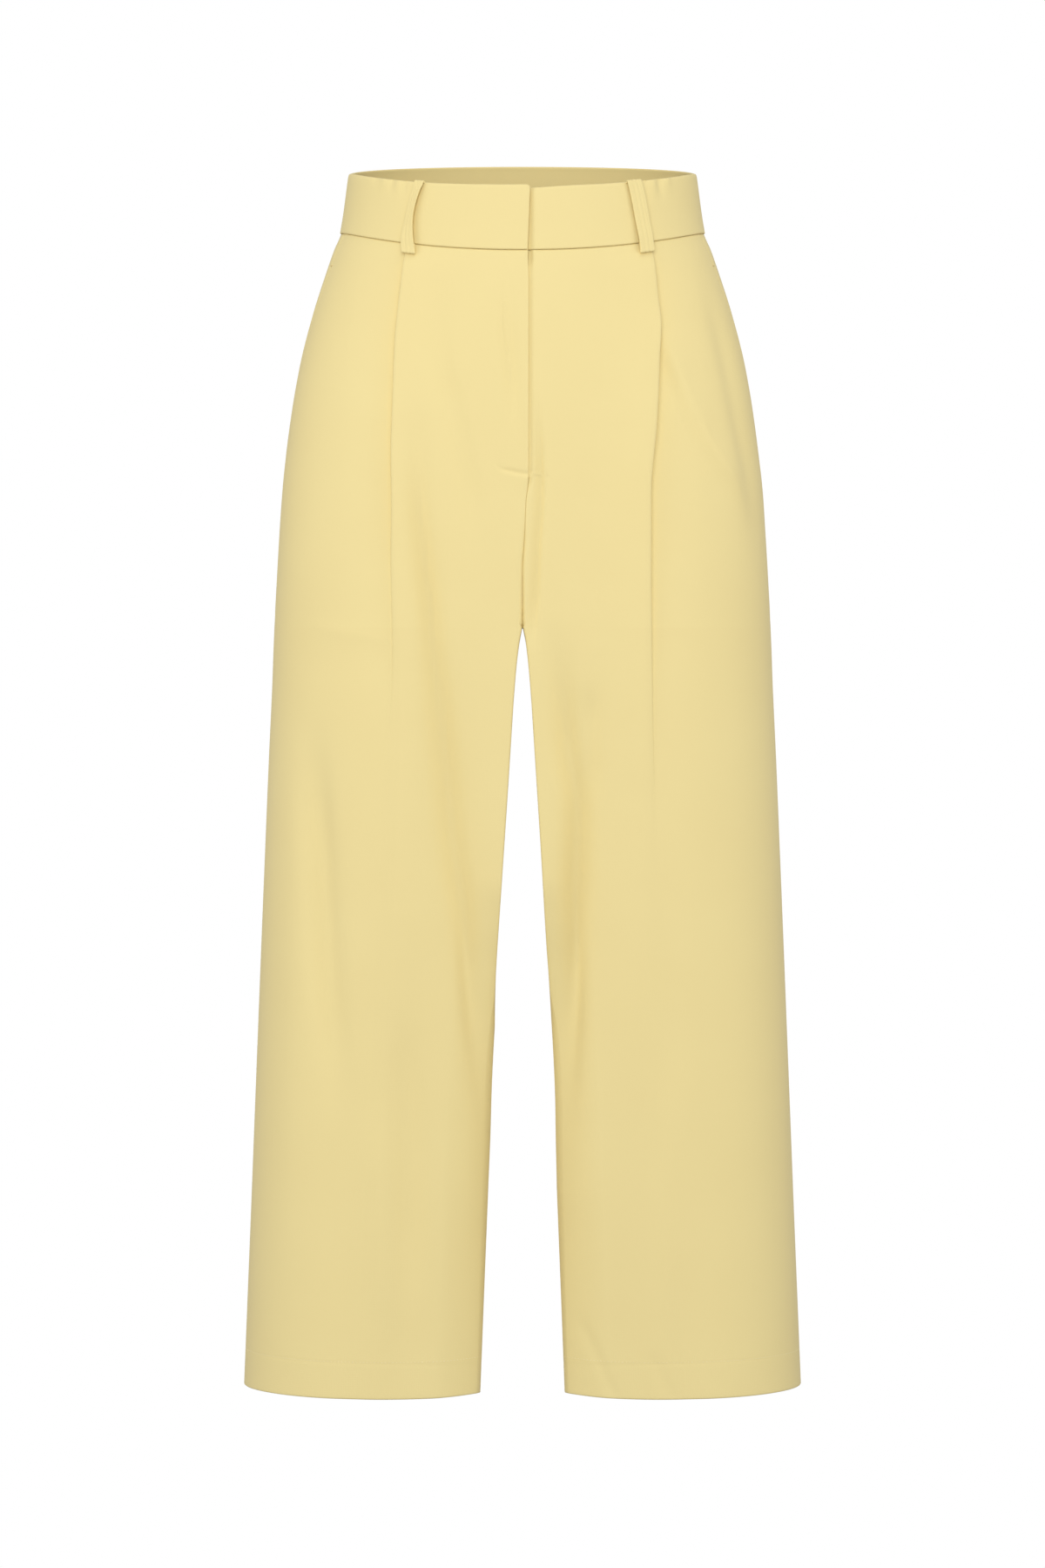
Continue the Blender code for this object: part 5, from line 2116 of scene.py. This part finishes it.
@dataclass(frozen=True)
class Studio:
    """Camera, soft light and a plain pale floor that curves up far away on all sides."""

    eye: tuple[float, float, float] = (0.0, -4.0, -0.462)
    lens: float = 121.2
    sensor_width: float = 36.0
    clip_end: float = 60.0
    ambient: float = 0.405
    softboxes: tuple[Softbox, ...] = (
        Softbox("key", (-0.25, -3.5, 0.62), (0.0, 0.0, -0.34), 2.2, 61.5),
        Softbox("top", (0.1, -1.1, 2.3), (0.0, 0.0, -0.3), 2.0, 15.0),
        Softbox("left", (-1.8, -0.8, -0.15), (0.0, 0.0, -0.4), 1.2, 9.6),
        Softbox("right", (1.8, -0.8, -0.15), (0.0, 0.0, -0.4), 1.2, 9.6),
    )
    floor_z: float = -1.12
    floor_radius: float = 9.0
    floor_rings: int = 8
    floor_curve: float = 2.0
    wall_height: float = 9.0
    segments: int = 64

    def camera(self) -> None:
        """Make the camera and look along +Y from it."""
        data = bpy.data.cameras.new("camera")
        data.lens = self.lens
        data.sensor_width = self.sensor_width
        data.sensor_fit = "AUTO"
        data.clip_end = self.clip_end
        data.dof.use_dof = False
        item = link("camera", data)
        item.location = self.eye
        item.rotation_euler = (math.pi / 2.0, 0.0, 0.0)
        bpy.context.scene.camera = item

    def light(self) -> None:
        """Soft light from the front and above, over an even glow from all round."""
        for softbox in self.softboxes:
            softbox.build()
        world = bpy.data.worlds.new("studio")
        world.use_nodes = True
        world.node_tree.nodes.clear()
        inputs = {"Color": (1.0, 1.0, 1.0, 1.0), "Strength": self.ambient}
        glow = add_node(world.node_tree, "ShaderNodeBackground", inputs)
        add_node(world.node_tree, "ShaderNodeOutputWorld", {"Surface": glow.outputs[0]})
        bpy.context.scene.world = world
        bpy.context.scene.view_settings.view_transform = "Standard"

    def floor(self) -> Object:
        """The pale floor, seen by the camera alone and open from below.

        Returns:
            The new object.
        """
        count = self.floor_rings
        profile = [(self.floor_radius * i / count, self.floor_z) for i in range(1, count + 1)]
        for angle in np.radians(np.linspace(0.0, 90.0, count + 1)):
            out = self.floor_radius + self.floor_curve * math.sin(angle)
            profile.append((out, self.floor_z + self.floor_curve - self.floor_curve * math.cos(angle)))
        profile.append((self.floor_radius + self.floor_curve, self.floor_z + self.wall_height))
        build = bmesh.new()
        middle = build.verts.new((0.0, 0.0, self.floor_z))
        turns = [2.0 * math.pi * i / self.segments for i in range(self.segments)]
        rings = [
            [build.verts.new((radius * math.cos(turn), radius * math.sin(turn), z)) for turn in turns]
            for radius, z in profile
        ]
        for i in range(self.segments):
            k = (i + 1) % self.segments
            build.faces.new((middle, rings[0][i], rings[0][k]))
            for inner, outer in zip(rings, rings[1:]):
                build.faces.new((inner[i], outer[i], outer[k], inner[k]))
        material, tree = new_material("white_paper_sweep")
        glow = add_node(tree, "ShaderNodeEmission", {"Color": (1.0, 1.0, 1.0, 1.0), "Strength": 1.0})
        clear = add_node(tree, "ShaderNodeBsdfTransparent")
        backside = add_node(tree, "ShaderNodeNewGeometry").outputs["Backfacing"]
        inputs = {0: backside, 1: glow.outputs[0], 2: clear.outputs[0]}
        either = add_node(tree, "ShaderNodeMixShader", inputs)
        add_node(tree, "ShaderNodeOutputMaterial", {"Surface": either.outputs[0]})
        item = built_object("floor", build, material)
        item.visible_diffuse = False
        item.visible_glossy = False
        item.visible_transmission = False
        item.visible_shadow = False
        return item


# --- Garment ---

CUTS: dict[str, Cut] = {
    "front_right": Cut(0.38, 0.94, 0.297),
    "front_left": Cut(0.38, 0.94, 0.293),
    "back_right": Cut(0.36, 0.98, 0.284),
    "back_left": Cut(0.36, 0.98, 0.284),
    "pocket_right": Cut(0.16, 0.31, 0.041),
    "pocket_left": Cut(0.16, 0.31, 0.04),
    "waistband_front_right": Cut(0.2, 0.105, None, Hold.FOLDED),
    "waistband_front_left": Cut(0.22, 0.105, None, Hold.FOLDED),
    "waistband_back": Cut(0.38, 0.105, None, Hold.FOLDED),
    "zip": Cut(0.026, 0.176, None, Hold.STRETCHED),
    "belt_loop": Cut(0.0115, 0.072, None, Hold.FOLDED),
}

HEM_STITCH = StitchSize(2.7, 0.95, 0.5, 0.34, 0.18)
TACK_STITCH = StitchSize(0.5, 0.55, 1.3, 0.45, 0.06)

# The bar tack's level, where it starts and ends from the mouth's edge, its points, how far it
# stands off the front, and how much lower it lies past the edge.
TACK_DROP = 70.0
TACK_REACH = (-1.6, 4.6)
TACK_POINTS = 12
TACK_STAND_OFF = 0.15
TACK_SINK = 0.25


class Culottes:
    """The whole garment, built piece by piece."""

    def __init__(self) -> None:
        """Set up the form, the finishes and the stitches."""
        self.form = GarmentForm()
        self.cloth_finish = StretchCrepeSuiting("stretch_crepe_suiting").build()
        self.band_finish = StretchCrepeSuiting("stretch_crepe_waistband").build()
        self.thread = SpunPolyesterThread("spun_polyester_thread").build()
        self.tack_thread = SpunPolyesterThread("tack_thread", colour="#D8C284").build()
        self.tape_finish = WovenPolyesterTape("woven_zip_tape").build()
        self.coil_finish = NylonCoil("nylon_zip_coil").build()
        self.slider_finish = LacqueredZinc("lacquered_zinc").build()
        self.stitches = StitchRun()
        self.seamster = Seamster(self.form)

    def trim(self, item: Object, node: str | None = None) -> None:
        """Dress a finished piece and log its size.

        Args:
            item: the piece.
            node: name of the solid that it stands for, if any.
        """
        dress(item, node)
        item.data.calc_loop_triangles()
        LOG.info("%s: %d triangles", item.name, len(item.data.loop_triangles))

    def sheet(self, item: Object, slot: str, node: str, rests_on: str, thickness: float = 0.0) -> None:
        """Thicken and dress one sheet.

        Args:
            item: the sheet.
            slot: the piece's kind; the belt loops' kind picks their shared cut.
            node: name of the solid that it stands for.
            rests_on: the solid that it hangs from or lies on.
            thickness: thickness in millimetres, or 0 where its mesh already has one.
        """
        LOG.info("%s: area %.4f m2", item.name, sum(polygon.area for polygon in item.data.polygons))
        if thickness:
            thicken(item, thickness)
        self.trim(item, node)
        CUTS["belt_loop" if slot == "belt_loop" else node].declare(item, [rests_on])

    def panel(self, node: str, slot: str, cloth: Cloth, rests_on: str) -> None:
        """Build one panel from its rows and columns as the sheet of a solid.

        Args:
            node: name of the solid that it stands for.
            slot: the piece's kind, handed on to the sheet.
            cloth: its rows and columns.
            rests_on: the solid that it hangs from or lies on.
        """
        points = cloth.points(self.form)
        item = grid_object("cloth_" + node, points, cloth.uv(), cloth.flipped, self.cloth_finish)
        self.sheet(item, slot, node, rests_on, CLOTH)

    def panels(self) -> None:
        """Fronts, backs and pockets, with the hems' stitches and the pockets' tacks."""
        for side in Side:
            band = "waistband_front_" + side.word
            front = FrontPanel(self.form, side)
            cloths = [front.cloth(), BackPanel(self.form, side).cloth()]
            self.panel("front_" + side.word, "cloth", cloths[0], band)
            self.panel("back_" + side.word, "cloth", cloths[1], "waistband_back")
            self.panel("pocket_" + side.word, "pocket", PocketBacking(front).cloth(), band)
            self.hem(side, cloths)
            self.tack(front)

    def hem(self, side: Side, cloths: Sequence[Cloth]) -> None:
        """The blind stitches that show above one hem.

        Args:
            side: side of the garment.
            cloths: the side's front and back.
        """
        runs = [self.seamster.hem_run(cloth) for cloth in cloths]
        item = self.stitches.sew("hem_stitches_" + side.word, runs, HEM_STITCH, self.thread, seed=11)
        self.trim(item)

    def tack(self, front: FrontPanel) -> None:
        """The bar tack across the upper end of the pocket mouth.

        Args:
            front: the front with the pocket.
        """
        edge = self.form.ring(TACK_DROP, Face.FRONT).length - float(MOUTH(TACK_DROP))
        alongs = np.linspace(edge + TACK_REACH[0], edge + TACK_REACH[1], TACK_POINTS)
        heights = front.surface(TACK_DROP, alongs) + TACK_STAND_OFF
        heights[alongs > edge] -= TACK_SINK
        runs = [self.seamster.level_run(front.side, TACK_DROP, alongs, heights)]
        name = "pocket_tack_" + front.side.word
        self.trim(self.stitches.sew(name, runs, TACK_STITCH, self.tack_thread, seed=5))

    def waist(self) -> None:
        """The waistband's three pieces and the belt loops."""
        band = Waistband(self.form)
        fronts = {side: band.front(side, self.band_finish) for side in Side}
        back = band.back(self.band_finish)
        for side, item in fronts.items():
            node = "front_" + side.word
            self.sheet(item, "waistband", "waistband_" + node, node, BAND_CLOTH)
        self.sheet(back, "waistband", "waistband_back", "back_right", BAND_CLOTH)
        for loop in LOOPS:
            below = "waistband_front_" + loop.side.word if loop.face is Face.FRONT else "waistband_back"
            self.sheet(loop.build(self.form, self.band_finish), "belt_loop", loop.name, below)

    def zip(self) -> None:
        """The zip behind the fly."""
        fastener = ZipFastener(self.form)
        self.sheet(fastener.tape(self.tape_finish), "tape", "zip", "front_left", TAPE)
        self.trim(fastener.teeth(self.stitches, self.coil_finish))
        self.trim(fastener.slider(self.slider_finish))


def main() -> None:
    """Load the model, then build the studio and the garment."""
    logging.basicConfig(level=logging.INFO, format="%(message)s")
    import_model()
    studio = Studio()
    studio.camera()
    studio.light()
    studio.floor()
    garment = Culottes()
    garment.panels()
    garment.waist()
    garment.zip()


if __name__ == "__main__":
    main()
